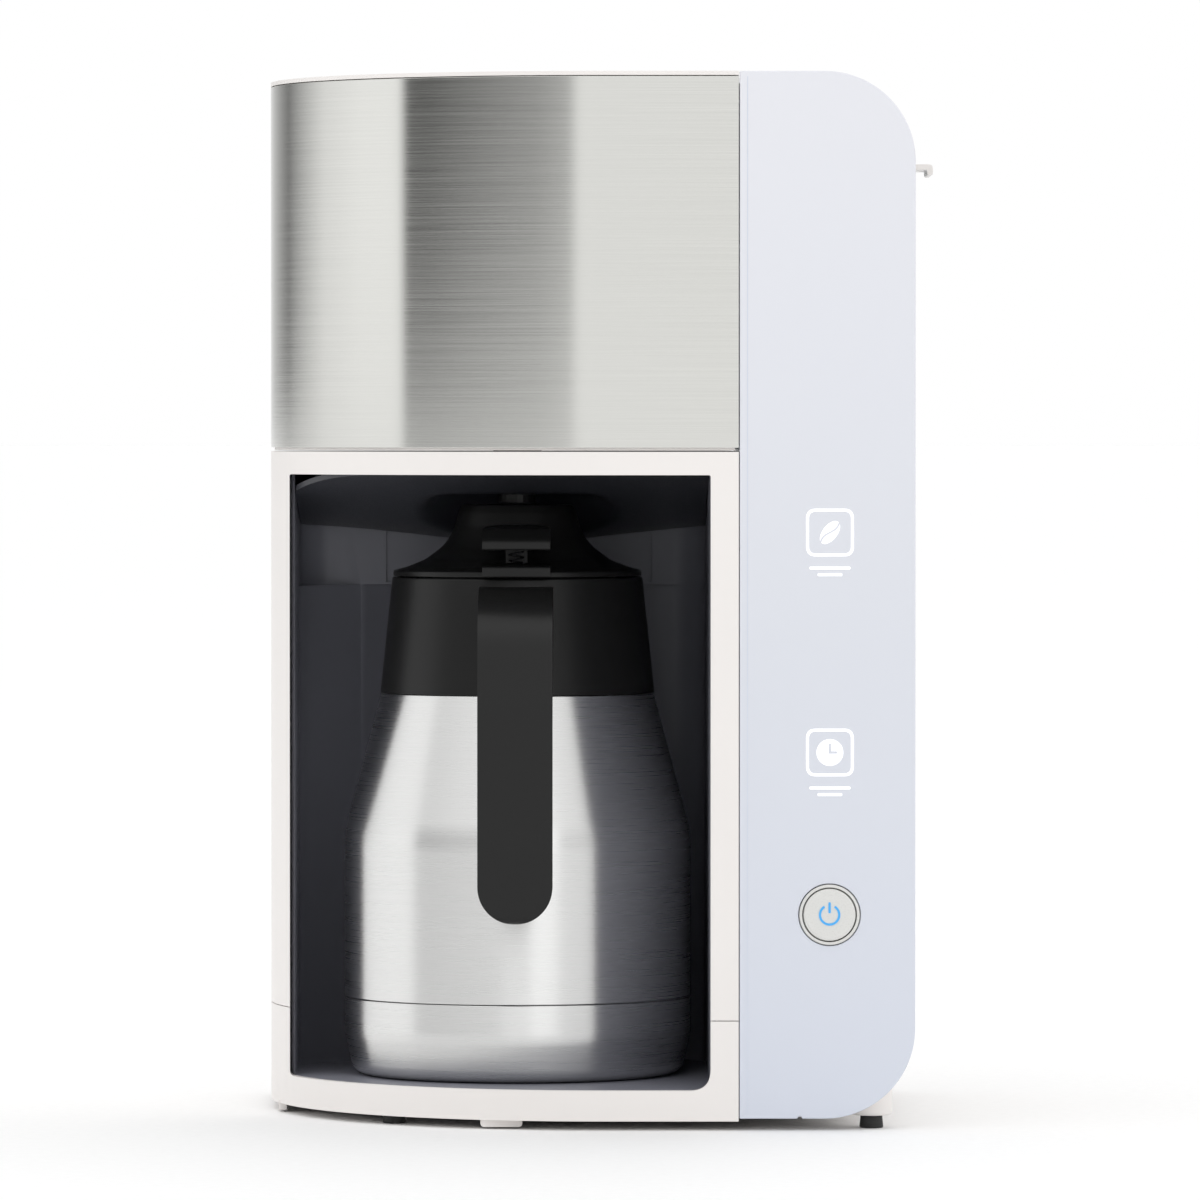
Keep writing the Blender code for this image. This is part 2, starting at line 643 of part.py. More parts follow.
def side_housing():
    left = COLUMN_RIGHT + 0.5
    bottom = PANEL_BOTTOM + GAP
    corner = PANEL_CORNER_R - GAP
    outline = side_outline(left, SIDE_RIGHT, bottom, HOUSING_TOP, corner, True, False)
    housing = prism("side_housing", outline, SIDE_FRONT, REAR_Y, "white_plastic", "Y")
    plan = side_plan(left, SIDE_RIGHT, SIDE_FRONT, REAR_Y, SIDE_REAR_R)
    within(housing, prism("keep_housing_plan", plan, -10.0, BODY_TOP + 10))
    for name, y in (("front", RIGHT_FOOT_FRONT_Y), ("rear", REAR_FEET_Y)):
        join(housing, rod(f"add_post_{name}", POST_R, POST_BOTTOM, 24.0, (RIGHT_FEET_X, y, 0.0), steps=20))
    inner = side_outline(left - 10, SIDE_RIGHT - WALL, bottom + WALL, HOUSING_TOP - WALL, corner - WALL,
                         True, False)
    hollow = prism("cut_housing", inner, SIDE_FRONT + WALL, REAR_Y - WALL, axis="Y")
    stem = rod("cut_stem_hole", STEM_R + 0.8, SIDE_FRONT - 5, SIDE_FRONT + 8, (BUTTON_X, 0.0, BUTTON_Z),
               axis="Y")
    spout = rod("cut_spout_hole", OUTLET_R + 2.0, HOUSING_TOP - 8, HOUSING_TOP + 8, (OUTLET_X, OUTLET_Y, 0.0),
                steps=24)
    cord = rod("cut_cord_hole", GLAND_R + GAP, REAR_Y - 10, REAR_Y + 10, (GLAND_X, 0.0, GLAND_Z), axis="Y")
    return cut(housing, hollow, stem, spout, cord)


def cord_gland():
    profile = [(GLAND_R, REAR_Y - 0.3), (GLAND_R, REAR_Y - WALL - GAP), (GLAND_R + 2.0, REAR_Y - WALL - GAP),
               (GLAND_R + 2.0, REAR_Y - WALL - 2.5), (3.4, REAR_Y - WALL - 2.5), (3.4, REAR_Y - 0.3)]
    return turned("cord_gland", profile, (GLAND_X, 0.0, GLAND_Z), "rubber", 20, "Y")


def water_tank():
    plan = side_plan(TANK_LEFT, SIDE_RIGHT, SIDE_FRONT, REAR_Y, SIDE_REAR_R)
    tank = prism("water_tank", plan, TANK_BOTTOM, TANK_TOP, "clear_plastic")
    spout = rod("add_spout", OUTLET_R, TANK_BOTTOM - OUTLET_DROP, TANK_BOTTOM + 1, (OUTLET_X, OUTLET_Y, 0.0),
                steps=20)
    hinge_wall = block("add_hinge_wall", (TANK_LEFT, TANK_LEFT + TANK_WALL), (EAR_FRONT[0], EAR_REAR[1]),
                       (TANK_TOP - 5, TANK_HINGE_Z - 6.5))
    join(tank, spout, hinge_wall)
    for name, ear in (("front", EAR_FRONT), ("rear", EAR_REAR)):
        join(tank, block(f"add_tank_ear_{name}", (TANK_LEFT + 0.1, TANK_HINGE_X + KNUCKLE_R), ear,
                         (TANK_TOP - 4, BODY_TOP - 0.5)))
    inner = side_plan(TANK_LEFT + TANK_WALL, SIDE_RIGHT - TANK_WALL, SIDE_FRONT + TANK_WALL,
                      REAR_Y - TANK_WALL, SIDE_REAR_R - TANK_WALL)
    hollow = prism("cut_tank", inner, TANK_FLOOR, TANK_TOP + 0.2)
    bore = rod("cut_spout_bore", OUTLET_BORE, 200.0, 260.0, (OUTLET_X, OUTLET_Y, 0.0), steps=20)
    pin = rod("cut_tank_pin", PIN_R + GAP, FRONT_Y, REAR_Y + 5, (TANK_HINGE_X, 0.0, TANK_HINGE_Z), steps=12, axis="Y")
    return cut(tank, hollow, bore, pin)


def tank_lid_pin():
    return rod("tank_lid_pin", PIN_R, EAR_FRONT[0], EAR_REAR[1], (TANK_HINGE_X, 0.0, TANK_HINGE_Z),
               "brushed_steel", 12, "Y")


def tank_lid():
    left = TANK_HINGE_X + 0.2
    bottom = TANK_TOP + GAP
    top = BODY_TOP - GAP
    corner = PANEL_CORNER_R - GAP
    outline = side_outline(left, SIDE_RIGHT, bottom, top, corner, False, True)
    lid = prism("tank_lid", outline, SIDE_FRONT, REAR_Y, "white_plastic", "Y")
    plan = side_plan(left - 20, SIDE_RIGHT, SIDE_FRONT, REAR_Y, SIDE_REAR_R)
    within(lid, prism("keep_lid_plan", plan, 300.0, BODY_TOP + 10))
    inner = side_outline(left - 10, SIDE_RIGHT - TANK_WALL, bottom - 10, top - TANK_WALL, corner - TANK_WALL,
                         False, True)
    cut(lid, prism("cut_tank_lid", inner, SIDE_FRONT + TANK_WALL, REAR_Y - TANK_WALL, axis="Y"))
    for name, ear in (("front", EAR_FRONT), ("rear", EAR_REAR)):
        cut(lid, block(f"cut_ear_room_{name}", (left - 10, TANK_HINGE_X + KNUCKLE_R + 1.2),
                       (ear[0] - RUN, ear[1] + RUN), (TANK_TOP - 20, BODY_TOP + 5)))
    bar = rod("add_tank_knuckle", KNUCKLE_R, EAR_FRONT[1] + RUN, EAR_REAR[0] - RUN,
              (TANK_HINGE_X, 0.0, TANK_HINGE_Z), axis="Y")
    reach = SIDE_RIGHT + TAB_REACH
    lip = [(SIDE_RIGHT - 1.0, bottom), (reach - 2.0, bottom), (reach - 1.8, bottom - 2.0), (reach, bottom - 2.0),
           (reach, bottom + 1.2), (reach - 0.8, bottom + 2.0), (SIDE_RIGHT - 1.0, bottom + 2.0)]
    tab = prism("add_tab", lip, TAB_Y - TAB_LENGTH / 2, TAB_Y + TAB_LENGTH / 2, axis="Y")
    join(lid, bar, tab)
    bore = rod("cut_lid_pin", PIN_R + GAP, FRONT_Y, REAR_Y + 5, (TANK_HINGE_X, 0.0, TANK_HINGE_Z), steps=12, axis="Y")
    return cut(lid, bore)


def tank_valve():
    """Poppet in the tank's outlet: the socket's pin holds it up, and its spring closes it."""
    at = (OUTLET_X, OUTLET_Y, 0.0)
    head = TANK_FLOOR + TANK_VALVE_TRAVEL + 1.5
    foot = TANK_BOTTOM - OUTLET_DROP + 1.0
    profile = [(0.0, head + 1.6), (9.0, head + 1.6), (9.0, head), (2.4, head), (2.4, foot), (0.0, foot)]
    turned("tank_valve", profile, at, "white_plastic", 20)
    pipe("tank_valve_seal", 8.9, 7.2, head - 1.1, head - GAP, at, "silicone", 20)
    top = TANK_FLOOR + 15.0
    coil("tank_valve_spring", at, 4.5, 0.4, head + 1.6 + GAP, top - 1.5 - GAP, 3)
    profile = [(0.0, top), (12.0, top), (12.0, TANK_FLOOR + GAP), (10.8, TANK_FLOOR + GAP),
               (10.8, top - 1.5), (0.0, top - 1.5)]
    strainer = turned("water_filter", profile, at, "white_plastic", 24)
    for i, angle in enumerate((0, 60, 120)):
        slot = block(f"cut_filter_{i + 1}", (-20.0, 20.0), (-2.0, 2.0), (TANK_FLOOR + 3.0, top - 3.0))
        slot.matrix_world = Matrix.Translation(Vector(at) * MM) @ Matrix.Rotation(math.radians(angle), 4, "Z")
        cut(strainer, slot)


def tank_socket():
    """Cup under the housing's top that takes the tank's spout and pushes its valve open."""
    at = (OUTLET_X, OUTLET_Y, 0.0)
    high = HOUSING_TOP - WALL - GAP
    low = high - 16.0
    pin_top = TANK_BOTTOM - OUTLET_DROP + 0.6
    profile = [(OUTLET_R + 3.5, high), (OUTLET_R + 3.5, low), (0.0, low), (0.0, pin_top), (1.8, pin_top),
               (1.8, low + 2.0), (OUTLET_R + 1.0, low + 2.0), (OUTLET_R + 1.0, high)]
    socket = turned("tank_socket", profile[2:] + profile[:2] + [profile[2]], at, "white_plastic", 24)
    return cut(socket, rod("cut_socket_outlet", 2.6, low - 5, low + 4, (OUTLET_X + 6.0, OUTLET_Y, 0.0), steps=12))


def power_button():
    at = (BUTTON_X, 0.0, BUTTON_Z)
    face = FRONT_Y - BUTTON_PROUD
    back = face + 3.6
    end = SIDE_FRONT + 4.5
    profile = [(0.0, face), (BUTTON_R - 0.8, face), (BUTTON_R, face + 0.8), (BUTTON_R, back), (STEM_R, back),
               (STEM_R, end), (0.0, end)]
    turned("power_button", profile, at, "white_plastic", 28, "Y")
    ring = [(BUTTON_RING_R, FRONT_Y - 0.6), (BUTTON_RING_R, SIDE_FRONT - GAP), (BUTTON_R + RUN, SIDE_FRONT - GAP),
            (BUTTON_R + RUN, FRONT_Y - 0.6)]
    turned("button_ring", ring, at, "brushed_steel", 28, "Y")
    coil("button_spring", at, 5.2, 0.35, back + GAP, SIDE_FRONT - GAP, 2, "Y")


def boards():
    stem_end = SIDE_FRONT + 4.5
    switch = stem_end + BUTTON_TRAVEL + 0.2
    block("push_switch", (BUTTON_X - 5, BUTTON_X + 5), (switch, switch + 3.0), (BUTTON_Z - 5, BUTTON_Z + 5),
          "black_plastic")
    board = switch + 3.0 + GAP
    block("touch_board", (58.0, 108.0), (board, board + 1.6), (64.0, 234.0), "circuit_board")
    block("power_board", (106.0, 107.6), (-50.0, 40.0), (90.0, 190.0), "circuit_board")


def feet():
    for side, x, top in (("left", LEFT_FEET_X, BASE_BOTTOM), ("right", RIGHT_FEET_X, POST_BOTTOM)):
        front = LEFT_FOOT_FRONT_Y if side == "left" else RIGHT_FOOT_FRONT_Y
        for end, y in (("front", front), ("rear", REAR_FEET_Y)):
            high = top - GAP
            profile = [(0.0, high), (FOOT_R, high), (FOOT_R, 0.6), (FOOT_R - 0.6, 0.0), (0.0, 0.0)]
            turned(f"foot_{end}_{side}", profile, (x, y, 0.0), "rubber", 16)


# ---------------------------------------------------------------- water path

def u_route(z):
    middle = (BOILER_IN_X + BOILER_OUT_X) / 2
    radius = (BOILER_IN_X - BOILER_OUT_X) / 2
    bend = [(x, y, z) for x, y in arc(middle, -30.0, radius, 0, -180, 10)]
    return [(BOILER_IN_X, BOILER_BACK, z), (BOILER_IN_X, 10.0, z), *bend, (BOILER_OUT_X, 10.0, z),
            (BOILER_OUT_X, BOILER_BACK, z)]


def boiler():
    """Water tube and heating element lie on each other in two matching bends."""
    tube("boiler_tube", u_route(BOILER_Z), 5.0, "aluminium")
    heater = u_route(BOILER_Z + 5.0 + 3.6 + GAP)
    tube("heater_element", heater[1:-1], 3.6, "aluminium")
    block("boiler_bracket", (60.0, 104.0), (-20.0, 40.0), (BOILER_Z - 7.8, BOILER_Z - 5.0 - GAP), "brushed_steel")
    middle = (BOILER_IN_X + BOILER_OUT_X) / 2
    rod("thermostat", 7.5, BOILER_Z - 5.0, BOILER_Z + 3.0, (middle, 5.0, 0.0), "aluminium", 20)
    start = BOILER_BACK + GAP
    rod("check_valve", 6.5, start, start + 16.0, (BOILER_IN_X, 0.0, BOILER_Z), "white_plastic", 16, "Y")
    socket_low = HOUSING_TOP - WALL - GAP - 16.0
    feed = [(OUTLET_X + 6.0, OUTLET_Y, socket_low - 3 * GAP), (OUTLET_X + 6.0, OUTLET_Y, socket_low - 15.0),
            (94.0, 74.0, 190.0), (98.0, 88.0, 140.0), (98.0, 94.0, 90.0), (BOILER_IN_X, 92.0, 56.0),
            (BOILER_IN_X, 83.0, BOILER_Z), (BOILER_IN_X, start + 16.0 + GAP, BOILER_Z)]
    tube("inlet_hose", smooth_route(feed, 5), HOSE_R, "silicone")
    rise = [(BOILER_OUT_X, start, BOILER_Z), (BOILER_OUT_X, start + 12, BOILER_Z), (BOILER_OUT_X, 84.0, 54.0),
            (66.0, RISER_Y, 80.0), (66.0, RISER_Y, 180.0), (60.0, RISER_Y, RISER_CROSS_Z - 7.0),
            (COLUMN_RIGHT, RISER_Y, RISER_CROSS_Z), (20.0, RISER_Y, RISER_CROSS_Z + 5.0),
            (JUG_X + 10, RISER_Y, RISER_CROSS_Z + 12.0), (JUG_X, RISER_Y, TUB_BOTTOM), (JUG_X, RISER_Y, 300.0),
            (JUG_X, RISER_Y - 2, 350.0), (JUG_X, RISER_Y - 14, 362.0), (JUG_X, NOZZLE_Y + 2, 366.0),
            (JUG_X, NOZZLE_Y, BODY_TOP - LID_PLATE - 6.0 - 3 * GAP)]
    tube("riser_hose", smooth_route(rise[:-2], 4) + [Vector(rise[-2])], HOSE_R, "silicone")


# ---------------------------------------------------------------- jug

def jug_body():
    at = (JUG_X, JUG_Y, 0.0)
    low = JUG_BOTTOM
    cap = [(0.0, low + 1.5), (0.0, low + 0.4), (JUG_R - 14.5, low + 0.4), (JUG_R - 13.0, low),
           (JUG_R - 10.5, low), (JUG_R - 4.0, low + 4.0), (JUG_R - 0.9, low + 8.5), (JUG_R, low + 14.0),
           (JUG_R, JUG_SEAM - GAP), (JUG_R - JUG_WALL, JUG_SEAM - GAP), (JUG_R - JUG_WALL, low + 14.0),
           (JUG_R - 1.9, low + 9.3), (JUG_R - 4.7, low + 5.2), (JUG_R - 10.9, low + 1.5)]
    turned("jug_base_cap", cap[1:] + [cap[0]], at, "brushed_steel", 32)
    wall = JUG_WALL
    top = COLLAR_TOP - 4.0
    shell = [(JUG_R, JUG_SEAM), (JUG_R, JUG_SHOULDER - 5), (JUG_R - 1.2, JUG_SHOULDER + 4),
             (COLLAR_R_LOW - 0.2, COLLAR_BOTTOM - GAP), (NECK_SHELL_R + 1, COLLAR_BOTTOM + 1.5),
             (NECK_SHELL_R, COLLAR_BOTTOM + 3), (NECK_SHELL_R, top), (NECK_SHELL_R - wall, top),
             (NECK_SHELL_R - wall, COLLAR_BOTTOM + 2.2), (COLLAR_R_LOW - 1.8, COLLAR_BOTTOM - 1.2),
             (JUG_R - 2.3, JUG_SHOULDER + 3.6), (JUG_R - wall, JUG_SHOULDER - 5.2), (JUG_R - wall, JUG_SEAM)]
    turned("jug_shell", shell, at, "brushed_steel", 32)
    neck = FLASK_NECK_R
    room = JUG_R - 5.5
    flask = [(0.0, low + 8.0), (room - 9.0, low + 8.0), (room - 2.0, low + 14.0), (room, low + 24.0),
             (room, JUG_SHOULDER - 7), (room - 1.5, JUG_SHOULDER + 2), (neck + 5.0, COLLAR_BOTTOM - 4.0),
             (neck, COLLAR_BOTTOM + 3.0),
             (neck, COLLAR_TOP - 3.0), (neck - wall, COLLAR_TOP - 3.0), (neck - wall, COLLAR_BOTTOM + 3.2),
             (neck + 4.0, COLLAR_BOTTOM - 4.6), (room - 2.6, JUG_SHOULDER + 1.6),
             (room - 1.0, JUG_SHOULDER - 7.2), (room - 1.0, low + 24.4), (room - 2.9, low + 14.6),
             (room - 9.4, low + 9.0), (0.0, low + 9.0)]
    turned("jug_flask", flask, at, "brushed_steel", 24)


def collar_profile(clear):
    inner = NECK_SHELL_R + 0.4 - clear
    return [(COLLAR_R_LOW + clear, COLLAR_BOTTOM), (COLLAR_R_TOP + clear, COLLAR_TOP - 0.8),
            (COLLAR_R_TOP - 0.8 + clear, COLLAR_TOP), (inner, COLLAR_TOP), (inner, COLLAR_BOTTOM + 3.2),
            (NECK_SHELL_R + 2.0, COLLAR_BOTTOM + 2.0), (COLLAR_R_LOW - 0.4, COLLAR_BOTTOM)]


def jug_collar():
    return turned("jug_collar", collar_profile(0.0), (JUG_X, JUG_Y, 0.0), "black_plastic", 32)


def jug_handle():
    """Strap handle with a free lower end, seated on the front of the collar."""
    front, back = HANDLE_FRONT, HANDLE_FRONT + HANDLE_T
    root = JUG_Y - COLLAR_R_TOP + 12.0
    bend = 30.0
    outline = [(root, HANDLE_TOP), (front + bend + 14.0, HANDLE_TOP - 1.5)]
    outline += arc(front + bend + 4.0, HANDLE_TOP - 6.0 - bend, bend + 4.0, 80, 180, 8)
    outline += [(front, HANDLE_BOTTOM + 4.0), (front + 4.0, HANDLE_BOTTOM), (back - 3.0, HANDLE_BOTTOM),
                (back, HANDLE_BOTTOM + 4.0)]
    outline += arc(back + 20.0, HANDLE_TOP - 6.0 - bend, 20.0, 180, 90, 6)
    outline += [(root, HANDLE_TOP - 20.0)]
    half = HANDLE_W / 2
    handle = prism("jug_handle", outline, JUG_X - half, JUG_X + half, "black_plastic", "X")
    face = arc(JUG_X, HANDLE_BOTTOM + half, half, 180, 360, 10)
    face += [(JUG_X + half, HANDLE_TOP + 10), (JUG_X - half, HANDLE_TOP + 10)]
    within(handle, prism("keep_handle_face", face, FRONT_Y - 40, 0.0, axis="Y"))
    grow = GAP
    seat = [(0.0, COLLAR_TOP + 5), (COLLAR_R_TOP + grow, COLLAR_TOP + 5), (COLLAR_R_TOP + grow, COLLAR_TOP - 0.8),
            (COLLAR_R_LOW + grow, COLLAR_BOTTOM), (JUG_R + 1, COLLAR_BOTTOM - 60.0), (0.0, COLLAR_BOTTOM - 60.0)]
    return cut(handle, turned("cut_handle_seat", seat, (JUG_X, JUG_Y, 0.0), steps=40))


def lid_cone(clear):
    """Outer side of the jug lid, from its top down to the rim."""
    low = COLLAR_TOP + RUN
    return [(LID_NECK_R - 1.5 + clear, JUG_TOP), (LID_NECK_R + clear, JUG_TOP - 2.0), (23.4 + clear, low + 19.0),
            (26.5 + clear, low + 13.0), (33.0 + clear, low + 7.6), (COLLAR_R_TOP - 6.0 + clear, low + 3.6),
            (COLLAR_R_TOP - 0.4 + clear, low + 2.0), (COLLAR_R_TOP - 0.4 + clear, low)]


def jug_lid():
    """Screw lid with a drip-through neck, a spout at the back and a bed for the thumb lever."""
    at = (JUG_X, JUG_Y, 0.0)
    low = COLLAR_TOP + RUN
    plug = FLASK_NECK_R - JUG_WALL - 2.4
    plug_low = low - 14.4
    profile = [*lid_cone(0.0)[::-1], (9.0, JUG_TOP), (9.0, JUG_TOP - 2.5), (LID_NECK_R - 2.4, JUG_TOP - 2.5),
               (21.0, low + 18.4), (24.4, low + 11.4), (31.6, low + 5.4), (plug - 2.0, low + 1.6),
               (plug - 2.0, plug_low + 2.0), (18.0, plug_low + 2.0), (18.0, plug_low), (plug, plug_low),
               (plug, low)]
    lid = turned("jug_lid", profile, at, "black_plastic", 28)
    half = LEVER_W / 2
    bed = block("add_lever_bed", (JUG_X - half, JUG_X + half), (LEVER_TIP_Y + 2.0, JUG_Y - 26.0), (low, low + 4.6))
    ear = block("add_lever_ear", (JUG_X - 4.0, JUG_X + 4.0), (LEVER_PIN_Y - 2.6, JUG_Y - 23.0), (low + 3.0, LEVER_PIN_Z + 2.6))
    tip = JUG_Y + 54.0
    lip = prism("add_spout_lip", [(JUG_X - 11.0, JUG_Y + 42.0), (JUG_X + 11.0, JUG_Y + 42.0), (JUG_X + 4.0, tip),
                                  (JUG_X - 4.0, tip)], low, low + 3.4)
    join(lid, bed, ear, lip)
    inside = turned("cut_lid_inside", [(0.0, low + 18.4), (21.0, low + 18.4), (24.4, low + 11.4), (31.6, low + 5.4),
                                       (plug - 2.0, low + 1.6), (plug - 2.0, plug_low + 2.0),
                                       (0.0, plug_low + 2.0)], at, steps=28)
    return cut(lid, inside, lever_bore("cut_ear_bore"))


def lever_bore(name):
    return rod(name, PIN_R + GAP, JUG_X - 30, JUG_X + 30, (0.0, LEVER_PIN_Y, LEVER_PIN_Z), steps=12, axis="X")


def lid_fittings():
    at = (JUG_X, JUG_Y, 0.0)
    low = COLLAR_TOP + RUN - 14.4
    plug = FLASK_NECK_R - JUG_WALL - 2.4
    pipe("jug_gasket", plug + 2.0, plug + GAP, low + 3.0, low + 6.0, at, "silicone", 32)
    half = LEVER_W / 2 - 1.5
    rod("lever_pin", PIN_R, JUG_X - half, JUG_X + half, (0.0, LEVER_PIN_Y, LEVER_PIN_Z), "brushed_steel", 12, "X")
    pipe("pour_seal", 21.6, 18.6, low - 1.6, low - 0.4, at, "silicone", 24)
    disc = low - 1.6 - GAP
    profile = [(0.0, low + 16.0), (3.0, low + 16.0), (3.0, disc), (22.5, disc), (22.5, disc - 2.2), (0.0, disc - 2.2)]
    turned("pour_valve", profile, at, "black_plastic", 24)


def thumb_lever():
    half = LEVER_W / 2
    back = LEVER_PIN_Y + 3.2
    under = LEVER_PIN_Z - 2.4
    outline = [(back, under + 1.0), (back, LEVER_PIN_Z + 3.0), (LEVER_PIN_Y - 2.0, LEVER_TOP - 1.0),
               (LEVER_PIN_Y - 7.0, LEVER_TOP), (LEVER_TIP_Y + 6.0, LEVER_TOP - 2.0), (LEVER_TIP_Y + 1.5, LEVER_TOP - 5.5),
               (LEVER_TIP_Y, under), (LEVER_PIN_Y - 4.0, under)]
    lever = prism("thumb_lever", outline, JUG_X - half, JUG_X + half, "black_plastic", "X")
    slot = block("cut_lever_slot", (JUG_X - 4.4, JUG_X + 4.4), (LEVER_PIN_Y - 3.4, 0.0), (200.0, 230.0))
    cone = [(0.0, 240.0), (LID_NECK_R + 1.0, 240.0), *lid_cone(1.0)[2:], (0.0, COLLAR_TOP)]
    neck = turned("cut_lever_neck", cone, (JUG_X, JUG_Y, 0.0), steps=40)
    cut(lever, slot, neck, lever_bore("cut_lever_bore"))
    coil("lever_spring", (JUG_X, LEVER_PIN_Y - 11.0, 0.0), 2.6, 0.35, COLLAR_TOP + RUN + 4.6 + GAP, under - GAP, 2)


# ---------------------------------------------------------------- build

clear_scene()
PARTS = collection("drip_coffee_maker")
CUTTERS = collection("cutters")

bay_opening = opening_cutter()
base_pan(bay_opening)
base_screws()
column_shell(bay_opening)
bay_liner()
drip_cowl()
steel_shroud()
chamber_tub()
rear_cover()
rear_deck()
lid_hinge_pin()
brew_lid()
shower_head()
brew_basket()
drip_valve()
touch_panel()
panel_carrier()
side_housing()
cord_gland()
water_tank()
tank_lid_pin()
tank_lid()
tank_valve()
tank_socket()
power_button()
boards()
feet()
boiler()
jug_body()
jug_collar()
jug_handle()
jug_lid()
lid_fittings()
thumb_lever()
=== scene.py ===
"""Looks of the drip coffee maker: fine shells, jug, touch panel, materials, light and camera round the CAD frame.

The front faces -Y and +Z is up. Helpers take millimetres and turn them to metres.
"""
import json
import math

import bmesh
import bpy
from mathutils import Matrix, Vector


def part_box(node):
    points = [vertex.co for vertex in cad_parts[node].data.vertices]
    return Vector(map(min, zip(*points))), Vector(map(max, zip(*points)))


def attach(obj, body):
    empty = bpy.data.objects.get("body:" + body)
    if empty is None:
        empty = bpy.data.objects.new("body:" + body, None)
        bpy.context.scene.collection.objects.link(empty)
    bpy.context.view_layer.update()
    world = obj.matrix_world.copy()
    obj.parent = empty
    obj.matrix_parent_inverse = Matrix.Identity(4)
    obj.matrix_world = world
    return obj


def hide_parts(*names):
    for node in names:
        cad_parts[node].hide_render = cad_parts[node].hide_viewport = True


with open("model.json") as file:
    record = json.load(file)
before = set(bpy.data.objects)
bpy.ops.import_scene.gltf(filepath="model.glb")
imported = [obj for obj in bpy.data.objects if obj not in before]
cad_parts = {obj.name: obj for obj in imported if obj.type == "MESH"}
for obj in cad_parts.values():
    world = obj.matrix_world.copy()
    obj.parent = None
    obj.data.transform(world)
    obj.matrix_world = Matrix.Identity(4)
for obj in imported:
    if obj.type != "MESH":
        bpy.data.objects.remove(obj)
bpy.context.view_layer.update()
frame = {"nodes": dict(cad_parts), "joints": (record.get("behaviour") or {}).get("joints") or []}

bl_info = {
    "name": "Drip Coffee Maker",
    "version": (1, 0, 0),
    "blender": (4, 5, 0),
    "location": "View3D > Sidebar > Coffee Maker",
    "description": "Builds the visible pieces, materials, light and camera of a drip coffee maker",
    "category": "Object",
}

MM = 0.001


def limits(node):
    """Lowest and highest corners of a CAD node, in millimetres."""
    low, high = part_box(node)
    return Vector(low) / MM, Vector(high) / MM


# ---------------------------------------------------------------- sizes that a user would change

class BREWER_PG_body(bpy.types.PropertyGroup):
    """Sizes of the housing's visible detail"""
    edge_round: bpy.props.FloatProperty(name="Edge Round", description="Radius of moulded edges",
                                        default=0.0007, unit="LENGTH")
    lid_round: bpy.props.FloatProperty(name="Lid Round", description="Radius of the lid's upper edge",
                                       default=0.0006, unit="LENGTH")
    panel_rim: bpy.props.FloatProperty(name="Panel Rim", description="Width of the panel's polished bevel",
                                       default=0.0011, unit="LENGTH")
    icon_side: bpy.props.FloatProperty(name="Icon Side", description="Width of a touch icon's square",
                                       default=0.0174, unit="LENGTH")
    icon_line: bpy.props.FloatProperty(name="Icon Line", description="Width of a touch icon's outline",
                                       default=0.0011, unit="LENGTH")


class BREWER_PG_jug(bpy.types.PropertyGroup):
    """Sizes of the jug's visible detail"""
    handle_round: bpy.props.FloatProperty(name="Handle Round", description="Radius of the handle's long edges",
                                          default=0.0022, unit="LENGTH")
    foot_round: bpy.props.FloatProperty(name="Foot Round", description="Radius where the jug's side meets its foot",
                                        default=0.013, unit="LENGTH")
    shoulder_round: bpy.props.FloatProperty(name="Shoulder Round", description="Radius of the jug's shoulder",
                                            default=0.045, unit="LENGTH")


class BREWER_PG_finish(bpy.types.PropertyGroup):
    """Colours of the finishes"""
    housing: bpy.props.StringProperty(name="Housing", description="Moulded ABS of the housing, sRGB hex",
                                      default="F1EDEA")
    liner: bpy.props.StringProperty(name="Bay Liner", description="Dark ABS of the jug bay, sRGB hex",
                                    default="82838D")
    fittings: bpy.props.StringProperty(name="Jug Fittings", description="Black polypropylene, sRGB hex",
                                       default="1A1A1A")
    # Colour at the panel's foot, where painted shade darkens the acrylic most.
    panel: bpy.props.StringProperty(name="Touch Panel", description="Translucent acrylic at its foot, sRGB hex",
                                    default="D6DBE7")
    mark: bpy.props.StringProperty(name="Power Mark", description="Backlit power mark, sRGB hex", default="3F9BD8")


class BREWER_PG_studio(bpy.types.PropertyGroup):
    """Camera and light"""
    distance: bpy.props.FloatProperty(name="Distance", description="Camera to the front of the machine",
                                      default=3.3, unit="LENGTH")
    height: bpy.props.FloatProperty(name="Height", description="Camera height over the table",
                                    default=0.2546, unit="LENGTH")
    aim_height: bpy.props.FloatProperty(name="Aim Height", description="Height of the point the camera looks at",
                                        default=0.193, unit="LENGTH")
    lens: bpy.props.FloatProperty(name="Lens", description="Focal length on a 36 mm sensor, in millimetres",
                                  default=272.7)
    key: bpy.props.FloatProperty(name="Key", description="Power of the overhead softbox in watts", default=14.0)
    fill: bpy.props.FloatProperty(name="Fill", description="Power of the front softbox in watts", default=4.0)
    dome: bpy.props.FloatProperty(name="Dome", description="Brightness of the studio's ceiling", default=1.05)


# ---------------------------------------------------------------- shape helpers

def arc(cx, cy, radius, start, end, steps):
    points = []
    for i in range(steps + 1):
        angle = math.radians(start + (end - start) * i / steps)
        points.append((cx + radius * math.cos(angle), cy + radius * math.sin(angle)))
    return points


def rounded(corners, steps=6, closed=True):
    """An outline from corners (u, v) or (u, v, radius): corners with a radius become arcs."""
    path = []
    count = len(corners)
    for i, corner in enumerate(corners):
        here = Vector(corner[:2])
        radius = corner[2] if len(corner) > 2 else 0.0
        if radius <= 0.0 or (not closed and i in (0, count - 1)):
            path.append(tuple(here))
            continue
        before = (Vector(corners[i - 1][:2]) - here)
        after = (Vector(corners[(i + 1) % count][:2]) - here)
        half = before.angle(after) / 2
        reach = min(radius / math.tan(half), 0.49 * before.length, 0.49 * after.length)
        start = here + before.normalized() * reach
        end = here + after.normalized() * reach
        for k in range(steps + 1):
            t = k / steps
            path.append(tuple(start * (1 - t) ** 2 + here * 2 * t * (1 - t) + end * t ** 2))
    return path


